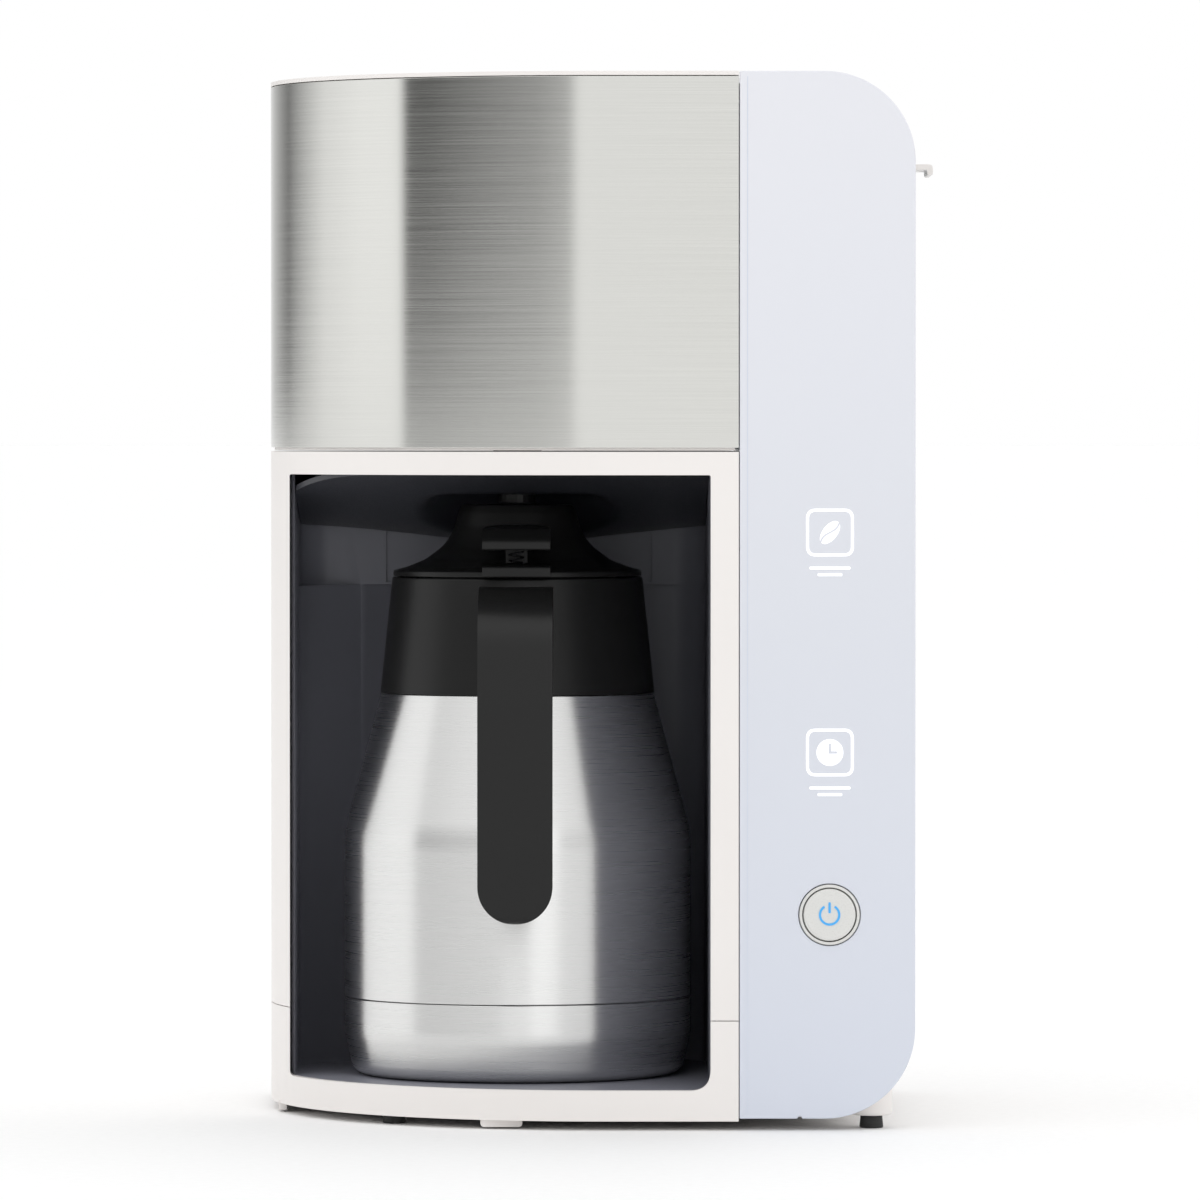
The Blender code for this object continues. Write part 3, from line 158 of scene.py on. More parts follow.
def keep(mesh, name):
    item = bpy.data.objects.new(name, mesh)
    bpy.context.scene.collection.objects.link(item)
    return item


def prism(name, outline, low, high, axis="Z"):
    """A flat outline pushed along an axis: Z takes (x, y), Y takes (x, z) and X takes (y, z)."""
    turn = {"Z": lambda u, v, w: (u, v, w), "Y": lambda u, v, w: (u, w, v), "X": lambda u, v, w: (w, u, v)}
    build = bmesh.new()
    face = build.faces.new([build.verts.new(Vector(turn[axis](u, v, low)) * MM) for u, v in outline])
    pushed = bmesh.ops.extrude_face_region(build, geom=[face])["geom"]
    moved = [v for v in pushed if isinstance(v, bmesh.types.BMVert)]
    bmesh.ops.translate(build, verts=moved, vec=Vector(turn[axis](0.0, 0.0, high - low)) * MM)
    bmesh.ops.recalc_face_normals(build, faces=build.faces)
    mesh = bpy.data.meshes.new(name)
    build.to_mesh(mesh)
    build.free()
    return keep(mesh, name)


def block(name, x, y, z):
    return prism(name, [(x[0], y[0]), (x[1], y[0]), (x[1], y[1]), (x[0], y[1])], z[0], z[1])


def lathe(name, profile, centre, steps=96, axis="Z"):
    """A closed profile of (radius, height) spun about an axis through centre."""
    turn = {"Z": lambda r, s, h: (r, s, h), "Y": lambda r, s, h: (r, h, s), "X": lambda r, s, h: (h, r, s)}
    build = bmesh.new()
    rings = []
    for radius, height in profile:
        if radius < 1e-6:
            rings.append([build.verts.new((Vector(centre) + Vector(turn[axis](0.0, 0.0, height))) * MM)])
            continue
        ring = []
        for i in range(steps):
            angle = 2 * math.pi * i / steps
            at = Vector(turn[axis](radius * math.cos(angle), radius * math.sin(angle), height))
            ring.append(build.verts.new((Vector(centre) + at) * MM))
        rings.append(ring)
    for one, two in zip(rings, rings[1:] + rings[:1]):
        if len(one) == 1 and len(two) == 1:
            continue
        for i in range(steps):
            k = (i + 1) % steps
            corners = [one[i % len(one)], one[k % len(one)], two[k % len(two)], two[i % len(two)]]
            build.faces.new(list(dict.fromkeys(corners)))
    bmesh.ops.recalc_face_normals(build, faces=build.faces)
    mesh = bpy.data.meshes.new(name)
    build.to_mesh(mesh)
    build.free()
    return keep(mesh, name)


def settle(item):
    """Applies a piece's modifiers to its mesh."""
    seen = item.evaluated_get(bpy.context.evaluated_depsgraph_get())
    mesh = bpy.data.meshes.new_from_object(seen)
    item.modifiers.clear()
    item.data = mesh
    return item


def carve(item, operation, *tools):
    """Cuts, joins or trims a piece with tools, which are used up."""
    for tool in tools:
        change = item.modifiers.new(operation, "BOOLEAN")
        change.operation = operation
        change.object = tool
    settle(item)
    for tool in tools:
        bpy.data.objects.remove(tool)
    return item


def soften(item, width, segments=3, angle=35.0):
    """Rounds the sharp edges of a piece."""
    change = item.modifiers.new("round", "BEVEL")
    change.width = width
    change.segments = segments
    change.limit_method = "ANGLE"
    change.angle_limit = math.radians(angle)
    change.harden_normals = False
    return settle(item)


def dress(item, material, body, slot, *replaced, sharp=38.0):
    """Gives a piece its material, hangs it on the body it rides on and hides the CAD parts it replaces."""
    item.data.materials.clear()
    item.data.materials.append(material)
    item.data.shade_smooth()
    item.data.set_sharp_from_angle(angle=math.radians(sharp))
    level = item.modifiers.new("level", "WEIGHTED_NORMAL")
    level.keep_sharp = True
    settle(item)
    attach(item, body)
    if replaced:
        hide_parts(*replaced)
    return item


# ---------------------------------------------------------------- materials

def colour(text):
    """sRGB hex to linear colour."""
    parts = [int(text[i:i + 2], 16) / 255 for i in (0, 2, 4)]
    return (*[p / 12.92 if p <= 0.04045 else ((p + 0.055) / 1.055) ** 2.4 for p in parts], 1.0)


def add(tree, kind, inputs=None, **settings):
    """Adds a node with its settings, values and links."""
    node = tree.nodes.new(kind)
    for key, value in settings.items():
        setattr(node, key, value)
    for key, value in (inputs or {}).items():
        if isinstance(value, bpy.types.NodeSocket):
            tree.links.new(value, node.inputs[key])
        else:
            node.inputs[key].default_value = value
    return node


def begin(name, **values):
    """A material with its Principled shader's own values set."""
    material = bpy.data.materials.new(name)
    material.use_nodes = True
    tree = material.node_tree
    shader = tree.nodes["Principled BSDF"]
    for key, value in values.items():
        shader.inputs[key.replace("_", " ")].default_value = value
    return material, tree, shader


def grain(tree, size_mm, stretch=(1.0, 1.0, 1.0), detail=2.0):
    """Noise of a real size, drawn out by stretch along X, Y and Z."""
    place = add(tree, "ShaderNodeTexCoord")
    scale = add(tree, "ShaderNodeMapping", {"Vector": place.outputs["Object"],
                                            "Scale": tuple(1.0 / s for s in stretch)})
    return add(tree, "ShaderNodeTexNoise", {"Vector": scale.outputs["Vector"], "Scale": 1.0 / (size_mm * MM),
                                            "Detail": detail})


def shade_between(tree, noise, low, high, socket, low_at=0.3, high_at=0.7):
    """Spreads a noise between two colours into a socket."""
    ramp = add(tree, "ShaderNodeValToRGB", {"Fac": noise.outputs["Fac"]})
    ramp.color_ramp.elements[0].position = low_at
    ramp.color_ramp.elements[1].position = high_at
    ramp.color_ramp.elements[0].color = low
    ramp.color_ramp.elements[1].color = high
    tree.links.new(ramp.outputs["Color"], socket)
    return ramp


def vary_rough(tree, noise, low, high, shader):
    spread = add(tree, "ShaderNodeMapRange", {"Value": noise.outputs["Fac"], "From Min": 0.3, "From Max": 0.7,
                                              "To Min": low, "To Max": high})
    tree.links.new(spread.outputs["Result"], shader.inputs["Roughness"])


def raise_grain(tree, noise, height_mm, shader, strength=1.0):
    bump = add(tree, "ShaderNodeBump", {"Height": noise.outputs["Fac"], "Distance": height_mm * MM,
                                        "Strength": strength})
    tree.links.new(bump.outputs["Normal"], shader.inputs["Normal"])


def tinted(base, gain):
    return (*[min(1.0, c * gain) for c in base[:3]], 1.0)


def moulded_plastic(name, base, rough, grain_mm, lift_mm, ior=1.53, sheen=0.5):
    """Injection moulded plastic: an even colour, and a fine spark texture that breaks up the highlight."""
    material, tree, shader = begin(name, IOR=ior, Specular_IOR_Level=sheen)
    cloud = grain(tree, 38.0, detail=3.0)
    shade_between(tree, cloud, tinted(base, 0.99), tinted(base, 1.006), shader.inputs["Base Color"])
    spark = grain(tree, grain_mm, detail=1.0)
    vary_rough(tree, spark, rough - 0.05, rough + 0.05, shader)
    raise_grain(tree, spark, lift_mm, shader, 0.35)
    return material


def abs_housing():
    return moulded_plastic("abs_satin_warm_white", colour(SET("finish").housing), 0.36, 0.5, 0.012)


def abs_keycap():
    return moulded_plastic("abs_satin_light_grey", colour("DEDEDB"), 0.3, 0.5, 0.01)


def abs_liner():
    # A softer, darker moulding than the housing: it lifts to blue-grey where light reaches it.
    return moulded_plastic("abs_matt_slate", colour(SET("finish").liner), 0.46, 0.6, 0.02)


def pp_cowl():
    # The slate is much darker than the liner's to match the shade under the bay's ceiling: painted shade in the cowl's
    # colour.
    return moulded_plastic("pp_heat_resistant_slate_painted_shade", colour("34353B"), 0.34, 0.6, 0.02, 1.49)


def pp_fittings():
    return moulded_plastic("pp_satin_black", colour(SET("finish").fittings), 0.36, 0.45, 0.014, 1.49, 0.28)


def brushed_sheet(name, base, rough, along, grain_mm=0.35, swirl=0.0):
    """Stainless steel brushed one way: long fine scratches that change tone and gloss line by line."""
    material, tree, shader = begin(name, Metallic=1.0)
    # Real grit leaves lines near 0.05 mm, drawn coarser here so that they show.
    if swirl:
        # Scratches run round the piece, so each highlight is drawn out up and down.
        turned = add(tree, "ShaderNodeTangent", direction_type="RADIAL", axis="Z")
        tree.links.new(turned.outputs["Tangent"], shader.inputs["Tangent"])
        shader.inputs["Anisotropic"].default_value = swirl
        shader.inputs["Anisotropic Rotation"].default_value = 0.25
    line = grain(tree, grain_mm, along, detail=4.0)
    shade_between(tree, line, tinted(base, 0.95), tinted(base, 1.03), shader.inputs["Base Color"], 0.25, 0.75)
    vary_rough(tree, line, rough - 0.02, rough + 0.04, shader)
    raise_grain(tree, line, 0.003, shader, 0.5)
    return material


def stainless_shroud():
    return brushed_sheet("stainless_brushed_level", colour("D8D8D4"), 0.11, (300.0, 300.0, 1.0), 0.28)


def stainless_jug():
    return brushed_sheet("stainless_turned_satin", colour("E2E2E1"), 0.28, (220.0, 220.0, 1.0), 0.28, 0.75)


def steel_fittings():
    return brushed_sheet("steel_zinc_plated", colour("B9BABC"), 0.25, (1.0, 1.0, 1.0), 1.5)


def spring_painted_shade():
    # Near black steel: painted shade, so the spring reads as dark deep inside the lever.
    return brushed_sheet("spring_steel_painted_shade", colour("2C2C2E"), 0.35, (1.0, 1.0, 1.0), 0.8)


def aluminium_extruded():
    return brushed_sheet("aluminium_extruded", colour("C9CBCD"), 0.32, (1.0, 30.0, 1.0), 0.6)


def acrylic_panel():
    """Cast acrylic painted white on its back: depth and a cool tint, with painted shade that darkens it towards the
    foot and lightens it at the top.
    """
    material, tree, shader = begin("acrylic_back_painted", Roughness=0.13, IOR=1.49, Coat_Weight=0.5,
                                   Coat_Roughness=0.04)
    place = add(tree, "ShaderNodeTexCoord")
    axes = add(tree, "ShaderNodeSeparateXYZ", {"Vector": place.outputs["Object"]})
    low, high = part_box("touch_panel")
    # Painted shade: by height alone the colour runs from darker at the foot to lighter at the top.
    shade_by_height = add(tree, "ShaderNodeMapRange", {"Value": axes.outputs["Z"], "From Min": low.z, "From Max": high.z})
    ramp = add(tree, "ShaderNodeValToRGB", {"Fac": shade_by_height.outputs["Result"]})
    ramp.color_ramp.elements[0].color = colour(SET("finish").panel)
    ramp.color_ramp.elements[1].color = colour("E7E8EE")
    middle = ramp.color_ramp.elements.new(0.45)
    middle.color = colour("DDE0E8")
    tree.links.new(ramp.outputs["Color"], shader.inputs["Base Color"])
    raise_grain(tree, grain(tree, 26.0), 0.01, shader, 0.2)
    return material


def printed_ink(name, base, glow):
    """Screen printed or backlit ink: flat and clean, with a slight glow where a lamp sits behind it; on the white
    screen ink the slight glow is painted light, with no lamp behind it.
    """
    material, tree, shader = begin(name, Roughness=0.4, Emission_Color=base, Emission_Strength=glow)
    shade_between(tree, grain(tree, 1.2), tinted(base, 0.97), base, shader.inputs["Base Color"])
    return material


def san_tank():
    """Clear SAN with a frosted tool finish: it passes light and blurs what is behind it."""
    material, tree, shader = begin("san_clear_frosted", IOR=1.57, Transmission_Weight=0.72)
    cloud = grain(tree, 0.9, detail=1.0)
    shade_between(tree, grain(tree, 60.0), colour("DDE4E8"), colour("E8EDEF"), shader.inputs["Base Color"])
    vary_rough(tree, cloud, 0.16, 0.22, shader)
    return material


def rubber_foot():
    return moulded_plastic("rubber_moulded_black", colour("2A2A2A"), 0.72, 0.4, 0.03, 1.52)


def silicone_seal():
    return moulded_plastic("silicone_milky", colour("D8D2C9"), 0.5, 0.5, 0.01, 1.41)


def board_laminate():
    """Glass fibre board under green solder mask: a faint weave shows through the gloss."""
    material, tree, shader = begin("fr4_green_mask", Roughness=0.3, Coat_Weight=0.4)
    weave = grain(tree, 0.7, (1.0, 1.0, 4.0))
    shade_between(tree, weave, colour("0E4A26"), colour("17663A"), shader.inputs["Base Color"])
    return material


MATERIALS = {}


def finish_named(name):
    """Each finish is made once and shared by the pieces that have it."""
    makers = {"abs": abs_housing, "key": abs_keycap, "liner": abs_liner, "cowl": pp_cowl, "black": pp_fittings, "shroud": stainless_shroud,
              "jug": stainless_jug, "steel": steel_fittings, "spring": spring_painted_shade, "aluminium": aluminium_extruded,
              "acrylic": acrylic_panel, "tank": san_tank, "rubber": rubber_foot, "silicone": silicone_seal,
              "board": board_laminate}
    if name not in MATERIALS:
        MATERIALS[name] = makers[name]()
    return MATERIALS[name]


def SET(group):
    return getattr(bpy.context.scene, f"brewer_{group}")


# ---------------------------------------------------------------- outlines shared by the shells

BODY_LOW, BODY_HIGH = limits("column_shell")
FRONT, REAR = BODY_LOW.y, BODY_HIGH.y
LEFT, COLUMN_RIGHT = BODY_LOW.x, BODY_HIGH.x
SWEEP_R = -LEFT
REAR_R = 30.0
WALL = 2.4


def column_outline(inset, steps=72, right=None):
    """Plan of the left column: flat front, long arc to the left side, rounded rear corner."""
    edge = COLUMN_RIGHT - inset if right is None else right
    points = [(edge, FRONT + inset)]
    points += arc(0.0, FRONT + SWEEP_R, SWEEP_R - inset, 270, 180, steps)
    points += arc(LEFT + REAR_R, REAR - REAR_R, REAR_R - inset, 180, 90, steps // 3)
    points.append((edge, REAR - inset))
    return points


def sweep_x(y, inset):
    """Left side of the column at a depth y."""
    return -math.sqrt((SWEEP_R - inset) ** 2 - min(0.0, y - FRONT - SWEEP_R) ** 2)


OPEN_LEFT, OPEN_RIGHT = LEFT + 8.4, COLUMN_RIGHT - 10.2
OPEN_LOW, OPEN_HIGH = 14.6, BODY_HIGH.z - 8.5


def opening_tool():
    corners = [(OPEN_LEFT, OPEN_LOW, 2.0), (OPEN_RIGHT, OPEN_LOW, 7.5), (OPEN_RIGHT, OPEN_HIGH, 0.8),
               (OPEN_LEFT, OPEN_HIGH, 0.8)]
    depth = FRONT + SWEEP_R - math.sqrt((SWEEP_R - WALL) ** 2 - OPEN_LEFT ** 2) + 1.0
    return prism("opening_tool", rounded(corners, 10), FRONT - 20, depth, "Y")


# ---------------------------------------------------------------- left column

def make_column():
    edge = SET("body").edge_round
    low, high = BODY_LOW, BODY_HIGH
    shell = prism("main_shell", column_outline(0.0), low.z, high.z)
    carve(shell, "DIFFERENCE", prism("hollow", column_outline(WALL), low.z - 10, high.z + 10), opening_tool())
    soften(shell, edge * 0.7)
    dress(shell, finish_named("abs"), "root", "column_shell", "column_shell")
    base_low, base_high = limits("base_pan")
    bottom = limits("base_screw_1")[0].z + 1.9
    pan = prism("base_skirt", column_outline(0.0), bottom, base_high.z)
    tab = rounded([(-43.6, base_low.z, 1.6), (-28.3, base_low.z, 1.6), (-28.3, bottom + 1.0), (-43.6, bottom + 1.0)])
    rail = rounded([(-4.0, base_low.z, 1.2), (64.0, base_low.z, 1.2), (64.0, bottom + 1.0), (-4.0, bottom + 1.0)])
    carve(pan, "UNION", prism("front_tab", tab, -86.0, -79.0, "Y"), prism("side_tab", rail, -120.0, -117.0, "X"))
    carve(pan, "DIFFERENCE", prism("hollow", column_outline(WALL), bottom + WALL, base_high.z + 10), opening_tool())
    soften(pan, edge * 0.7)
    dress(pan, finish_named("abs"), "root", "base_pan", "base_pan")


def make_shroud():
    low, high = limits("steel_shroud")
    outer = column_outline(0.0, 120, COLUMN_RIGHT)[:-1]
    inner = column_outline(1.0, 120, COLUMN_RIGHT)[:-1]
    sheet = prism("steel_wrap", outer + inner[::-1], low.z, high.z)
    soften(sheet, 0.00025, 2)
    dress(sheet, finish_named("shroud"), "root", "steel_shroud", "steel_shroud")


def bay_walls(back, corner, left, right, front, steps):
    points = [(right, front)]
    points += arc(right - 12.0, back - 12.0, 12.0, 0, 90, 8)
    points += arc(left + corner, back - corner, corner, 90, 180, steps)
    points.append((left, front))
    return points


def make_bay():
    low, high = limits("bay_liner")
    inset = WALL + 0.3
    left, right, back = low.x, high.x, high.y
    wall = 2.0
    sweep = 180 + math.degrees(math.acos(-left / (SWEEP_R - inset)))
    outline = [(right, FRONT + inset)]
    outline += arc(0.0, FRONT + SWEEP_R, SWEEP_R - inset, 270, sweep, 48)
    outline += arc(left + 12.0, back - 12.0, 12.0, 180, 90, 10)
    outline += arc(right - 12.0, back - 12.0, 12.0, 90, 0, 10)
    liner = prism("bay_walls", outline, low.z, high.z)
    step = 196.0
    lower = bay_walls(back - wall, 45.0, left + wall, right - wall, FRONT - 20, 24)
    upper = bay_walls(back - wall - 6.0, 12.0, left + wall, right - wall, FRONT - 20, 10)
    carve(liner, "DIFFERENCE", prism("lower", lower, low.z + wall, step), prism("upper", upper, step - 0.1, 260.0))
    middle = (limits("jug_collar")[0].x + limits("jug_collar")[1].x) / 2
    face = back - wall - 6.0
    for side in (-1, 1):
        x = middle + side * 49.7
        carve(liner, "DIFFERENCE", block("groove", (x - 0.8, x + 0.8), (face - 3, face + 1.6), (step + 1, high.z - 2)))
    soften(liner, 0.0006, 2)
    dress(liner, finish_named("liner"), "root", "bay_liner", "bay_liner")
    make_cowl(middle, face, left + wall, right - wall)


def cowl_height(x, y, middle, face, lid_top):
    """Underside of the bay's ceiling: it falls towards the back, with a dish round the drip outlet."""
    start = FRONT + WALL
    t = (y - start) / (face - start)
    fall = max(0.0, (t - 0.2) / 0.8)
    fall = fall * fall * (3 - 2 * fall)
    ramp = OPEN_HIGH - 26.0 * fall * (0.72 + 0.28 * math.exp(-((x - middle) / 55.0) ** 2))
    dish = lid_top + 4.0 - 0.75 * max(0.0, math.hypot(x - middle, y + 4.0) - 30.0)
    if ramp > dish + 3.0:
        return ramp
    return max(ramp, min(dish, OPEN_HIGH))


def make_cowl(middle, face, left_wall, right_wall):
    columns, rows = 60, 60
    lid_top = limits("jug_lid")[1].z
    front, back, right = FRONT + WALL + 0.3, face - 0.3, right_wall - 0.3
    build = bmesh.new()
    grid = []
    for j in range(rows + 1):
        y = front + (back - front) * j / rows
        left = max(left_wall + 0.3, sweep_x(y, WALL + 0.3))
        near = max(0.0, y - (back - 12.0))
        pull = 12.0 - math.sqrt(max(0.0, 144.0 - near ** 2))
        span = right - left - 2 * pull
        across = [left + pull + span * i / columns for i in range(columns + 1)]
        grid.append([build.verts.new(Vector((x, y, cowl_height(x, y, middle, face, lid_top))) * MM) for x in across])
    for j in range(rows):
        for i in range(columns):
            build.faces.new((grid[j][i], grid[j + 1][i], grid[j + 1][i + 1], grid[j][i + 1]))
    mesh = bpy.data.meshes.new("bay_ceiling")
    build.to_mesh(mesh)
    build.free()
    ceiling = keep(mesh, "bay_ceiling")
    skin = ceiling.modifiers.new("skin", "SOLIDIFY")
    skin.thickness = 2.0 * MM
    skin.offset = -1.0
    settle(ceiling)
    carve(ceiling, "DIFFERENCE", lathe("outlet", [(0.0, 260.0), (11.5, 260.0), (11.5, 200.0), (0.0, 200.0)],
                                       (middle, -4.0, 0.0), 48))
    dress(ceiling, finish_named("cowl"), "root", "drip_cowl", "drip_cowl", sharp=50.0)


def make_lid():
    low, high = limits("brew_lid")
    hinge = next(j for j in frame["joints"] if j["name"] == "brew_lid_hinge")["pos_m"]
    pin_y = hinge[1] / MM
    rear = pin_y - 0.9
    outline = [p for p in column_outline(0.0, 120) if p[1] < rear]
    outline += [(sweep_x(rear, 0.0), rear), (COLUMN_RIGHT, rear)]
    lid = prism("brew_cover", outline, high.z - 1.5, high.z)
    inset = 4.4
    rings = []
    for extra in (0.0, 2.0):
        end = pin_y - 6.5 - extra
        ring = [p for p in column_outline(inset + extra) if p[1] < end]
        rings.append(ring + [(sweep_x(0.0, inset + extra), end), (COLUMN_RIGHT - inset - extra, end)])
    carve(lid, "UNION", prism("skirt", rings[0], low.z + 0.5, high.z - 1.0))
    carve(lid, "DIFFERENCE", prism("hollow", rings[1], low.z - 10, high.z - 1.5))
    pin_low, pin_high = limits("lid_hinge_pin")
    ears = ((pin_low.x, pin_low.x + 6.0), (pin_high.x - 6.0, pin_high.x))
    for x in ears:
        carve(lid, "DIFFERENCE", block("ear_room", (x[0] - 0.4, x[1] + 0.4), (pin_y - 3.6, pin_y + 10), (360.0, 400.0)))
    z = hinge[2] / MM
    bar = lathe("knuckle", [(0.0, ears[1][0] - 0.4), (2.3, ears[1][0] - 0.4), (2.3, ears[0][1] + 0.4),
                            (0.0, ears[0][1] + 0.4)], (0.0, pin_y, z), 32, "X")
    carve(lid, "UNION", bar)
    soften(lid, SET("body").lid_round, 3)
    dress(lid, finish_named("abs"), "lid", "brew_lid", "brew_lid")


# ---------------------------------------------------------------- right column

def side_outline(left, right, low, high, lower, upper):
    corner = 33.0 - (limits("touch_panel")[1].x - right)
    corners = [(left, low), (right, low, 0.0), (right, high, 0.0), (left, high)]
    points = [corners[0]]
    points += arc(right - corner, low + corner, corner, 270, 360, 40) if lower else [corners[1][:2]]
    points += arc(right - corner, high - corner, corner, 0, 90, 40) if upper else [corners[2][:2]]
    return points + [corners[3]]


def side_plan(left, right, front, rear, corner):
    return [(left, front), (right, front), *arc(right - corner, rear - corner, corner, 0, 90, 24), (left, rear)]


def make_panel():
    low, high = limits("touch_panel")
    ring_low, ring_high = limits("button_ring")
    at = ((ring_low.x + ring_high.x) / 2, 0.0, (ring_low.z + ring_high.z) / 2)
    radius = (ring_high.x - ring_low.x) / 2 + 0.3
    panel = prism("touch_face", side_outline(low.x, high.x, low.z, high.z, True, True), low.y, high.y, "Y")
    notch = block("notch", (71.9, 73.3), (low.y - 2, high.y + 2), (low.z - 1, low.z + 0.8))
    carve(panel, "DIFFERENCE", notch, lathe("hole", [(0.0, low.y - 5), (radius, low.y - 5), (radius, high.y + 5),
                                                     (0.0, high.y + 5)], at, 64, "Y"))
    soften(panel, SET("body").panel_rim, 5, 50.0)
    dress(panel, finish_named("acrylic"), "root", "touch_panel", "touch_panel")
    # A thin blue-grey strip near the panel's left edge: painted shade standing in for the cut edge as seen through the
    # acrylic.
    edge_shadow_paint, _, shader = begin("acrylic_edge_shadow", Roughness=0.3)
    _.links.new(add(_, "ShaderNodeValToRGB", {"Fac": grain(_, 20.0).outputs["Fac"]}).outputs["Color"],
                shader.inputs["Base Color"])
    ramp = next(n for n in _.nodes if n.bl_idname == "ShaderNodeValToRGB")
    ramp.color_ramp.elements[0].color = colour("C9D0DE")
    ramp.color_ramp.elements[1].color = colour("D3D9E5")
    line = block("panel_edge_painted_shadow", (low.x + 2.7, low.x + 3.0), (low.y - 0.04, low.y + 0.1), (low.z + 2, high.z - 2))
    dress(line, edge_shadow_paint, "root", "touch_panel")


def icon_bar(name, x, z, width, height, front, ink):
    half, tall = width / 2, height / 2
    outline = rounded([(x - half, z - tall, tall * 0.9), (x + half, z - tall, tall * 0.9),
                       (x + half, z + tall, tall * 0.9), (x - half, z + tall, tall * 0.9)])
    return dress(prism(name, outline, front - 0.08, front + 0.1, "Y"), ink, "root", "touch_panel")


def make_icons():
    """Coffee bean and clock in rounded squares, each over two plain indicator bars."""
    front = limits("touch_panel")[0].y
    # The white screen ink glows a little though no lamp lights it: painted light that keeps the icons bright.
    ink = printed_ink("screen_ink_white_painted_glow", colour("FDFDFF"), 0.25)
    side, line = SET("body").icon_side / MM, SET("body").icon_line / MM
    x = 83.5
    for name, z in (("bean", 217.5), ("clock", 137.6)):
        outlines = []
        for half, radius in ((side / 2, 3.6), (side / 2 - line, 2.6)):
            outlines.append(rounded([(x - half, z - half, radius), (x + half, z - half, radius),
                                     (x + half, z + half, radius), (x - half, z + half, radius)], 10))
        square = prism(f"{name}_square", outlines[0], front - 0.08, front + 0.1, "Y")
        carve(square, "DIFFERENCE", prism("inner", outlines[1], front - 2, front + 2, "Y"))
        dress(square, ink, "root", "touch_panel")
        for i, (offset, width) in enumerate(((-12.9, 15.0), (-15.3, 9.0))):
            icon_bar(f"{name}_bar_{i + 1}", x, z + offset, width, 1.1, front, ink)
    bean_icon(x, 217.5, front, ink)
    clock_icon(x, 137.6, front, ink)


def bean_icon(x, z, front, ink):
    lean = math.radians(38)
    points = []
    for i in range(48):
        angle = 2 * math.pi * i / 48
        u, v = 2.7 * math.cos(angle), 4.9 * math.sin(angle)
        points.append((x + u * math.cos(lean) + v * math.sin(lean), z - u * math.sin(lean) + v * math.cos(lean)))
    bean = prism("bean_mark", points, front - 0.08, front + 0.1, "Y")
    groove = []
    for side in (-0.32, 0.32):
        run = []
        for i in range(17):
            v = -6.0 + 12.0 * i / 16
            u = 0.9 * math.sin(v * math.pi / 6.0) + side
            run.append((x + u * math.cos(lean) + v * math.sin(lean), z - u * math.sin(lean) + v * math.cos(lean)))
        groove += run if side < 0 else run[::-1]
    carve(bean, "DIFFERENCE", prism("groove", groove, front - 2, front + 2, "Y"))
    dress(bean, ink, "root", "touch_panel")


def clock_icon(x, z, front, ink):
    face = lathe("clock_mark", [(0.0, front - 0.08), (4.9, front - 0.08), (4.9, front + 0.1), (0.0, front + 0.1)],
                 (x, 0.0, z), 64, "Y")
    carve(face, "DIFFERENCE", block("hand", (x - 0.45, x + 0.45), (front - 2, front + 2), (z - 0.45, z + 3.2)),
          block("hand", (x - 0.46, x + 2.6), (front - 2, front + 2), (z - 0.46, z + 0.44)))
    dress(face, ink, "root", "touch_panel")


def make_button():
    low, high = limits("power_button")
    at = ((low.x + high.x) / 2, 0.0, (low.z + high.z) / 2)
    radius = (high.x - low.x) / 2
    face = low.y
    profile = rounded([(0.0, face + 0.25), (radius - 2.0, face + 0.1, 8.0), (radius, face, 0.9),
                       (radius, face + 3.6, 0.3), (3.0, face + 3.6), (3.0, high.y), (0.0, high.y)], 6, False)
    dress(lathe("power_cap", profile, at, 96, "Y"), finish_named("key"), "button", "power_button", "power_button")
    ring_low, ring_high = limits("button_ring")
    outer = (ring_high.x - ring_low.x) / 2
    inner = radius + 0.4
    profile = rounded([(outer, ring_low.y, 0.5), (outer, ring_high.y), (inner, ring_high.y),
                       (inner, ring_low.y, 0.4)], 5)
    dress(lathe("button_bezel", profile, at, 96, "Y"), finish_named("key"), "root", "button_ring", "button_ring")
    blue = printed_ink("backlit_blue", colour(SET("finish").mark), 0.35)
    mark_y = (face - 0.0, face + 0.5)
    sweep = arc(at[0], at[2], 3.9, 122, 418, 48) + arc(at[0], at[2], 3.1, 418, 122, 48)
    dress(prism("power_arc", sweep, mark_y[0], mark_y[1], "Y"), blue, "button", "power_button")
    bar = rounded([(at[0] - 0.42, at[2] + 0.6, 0.4), (at[0] + 0.42, at[2] + 0.6, 0.4),
                   (at[0] + 0.42, at[2] + 4.6, 0.4), (at[0] - 0.42, at[2] + 4.6, 0.4)])
    dress(prism("power_bar", bar, mark_y[0], mark_y[1], "Y"), blue, "button", "power_button")


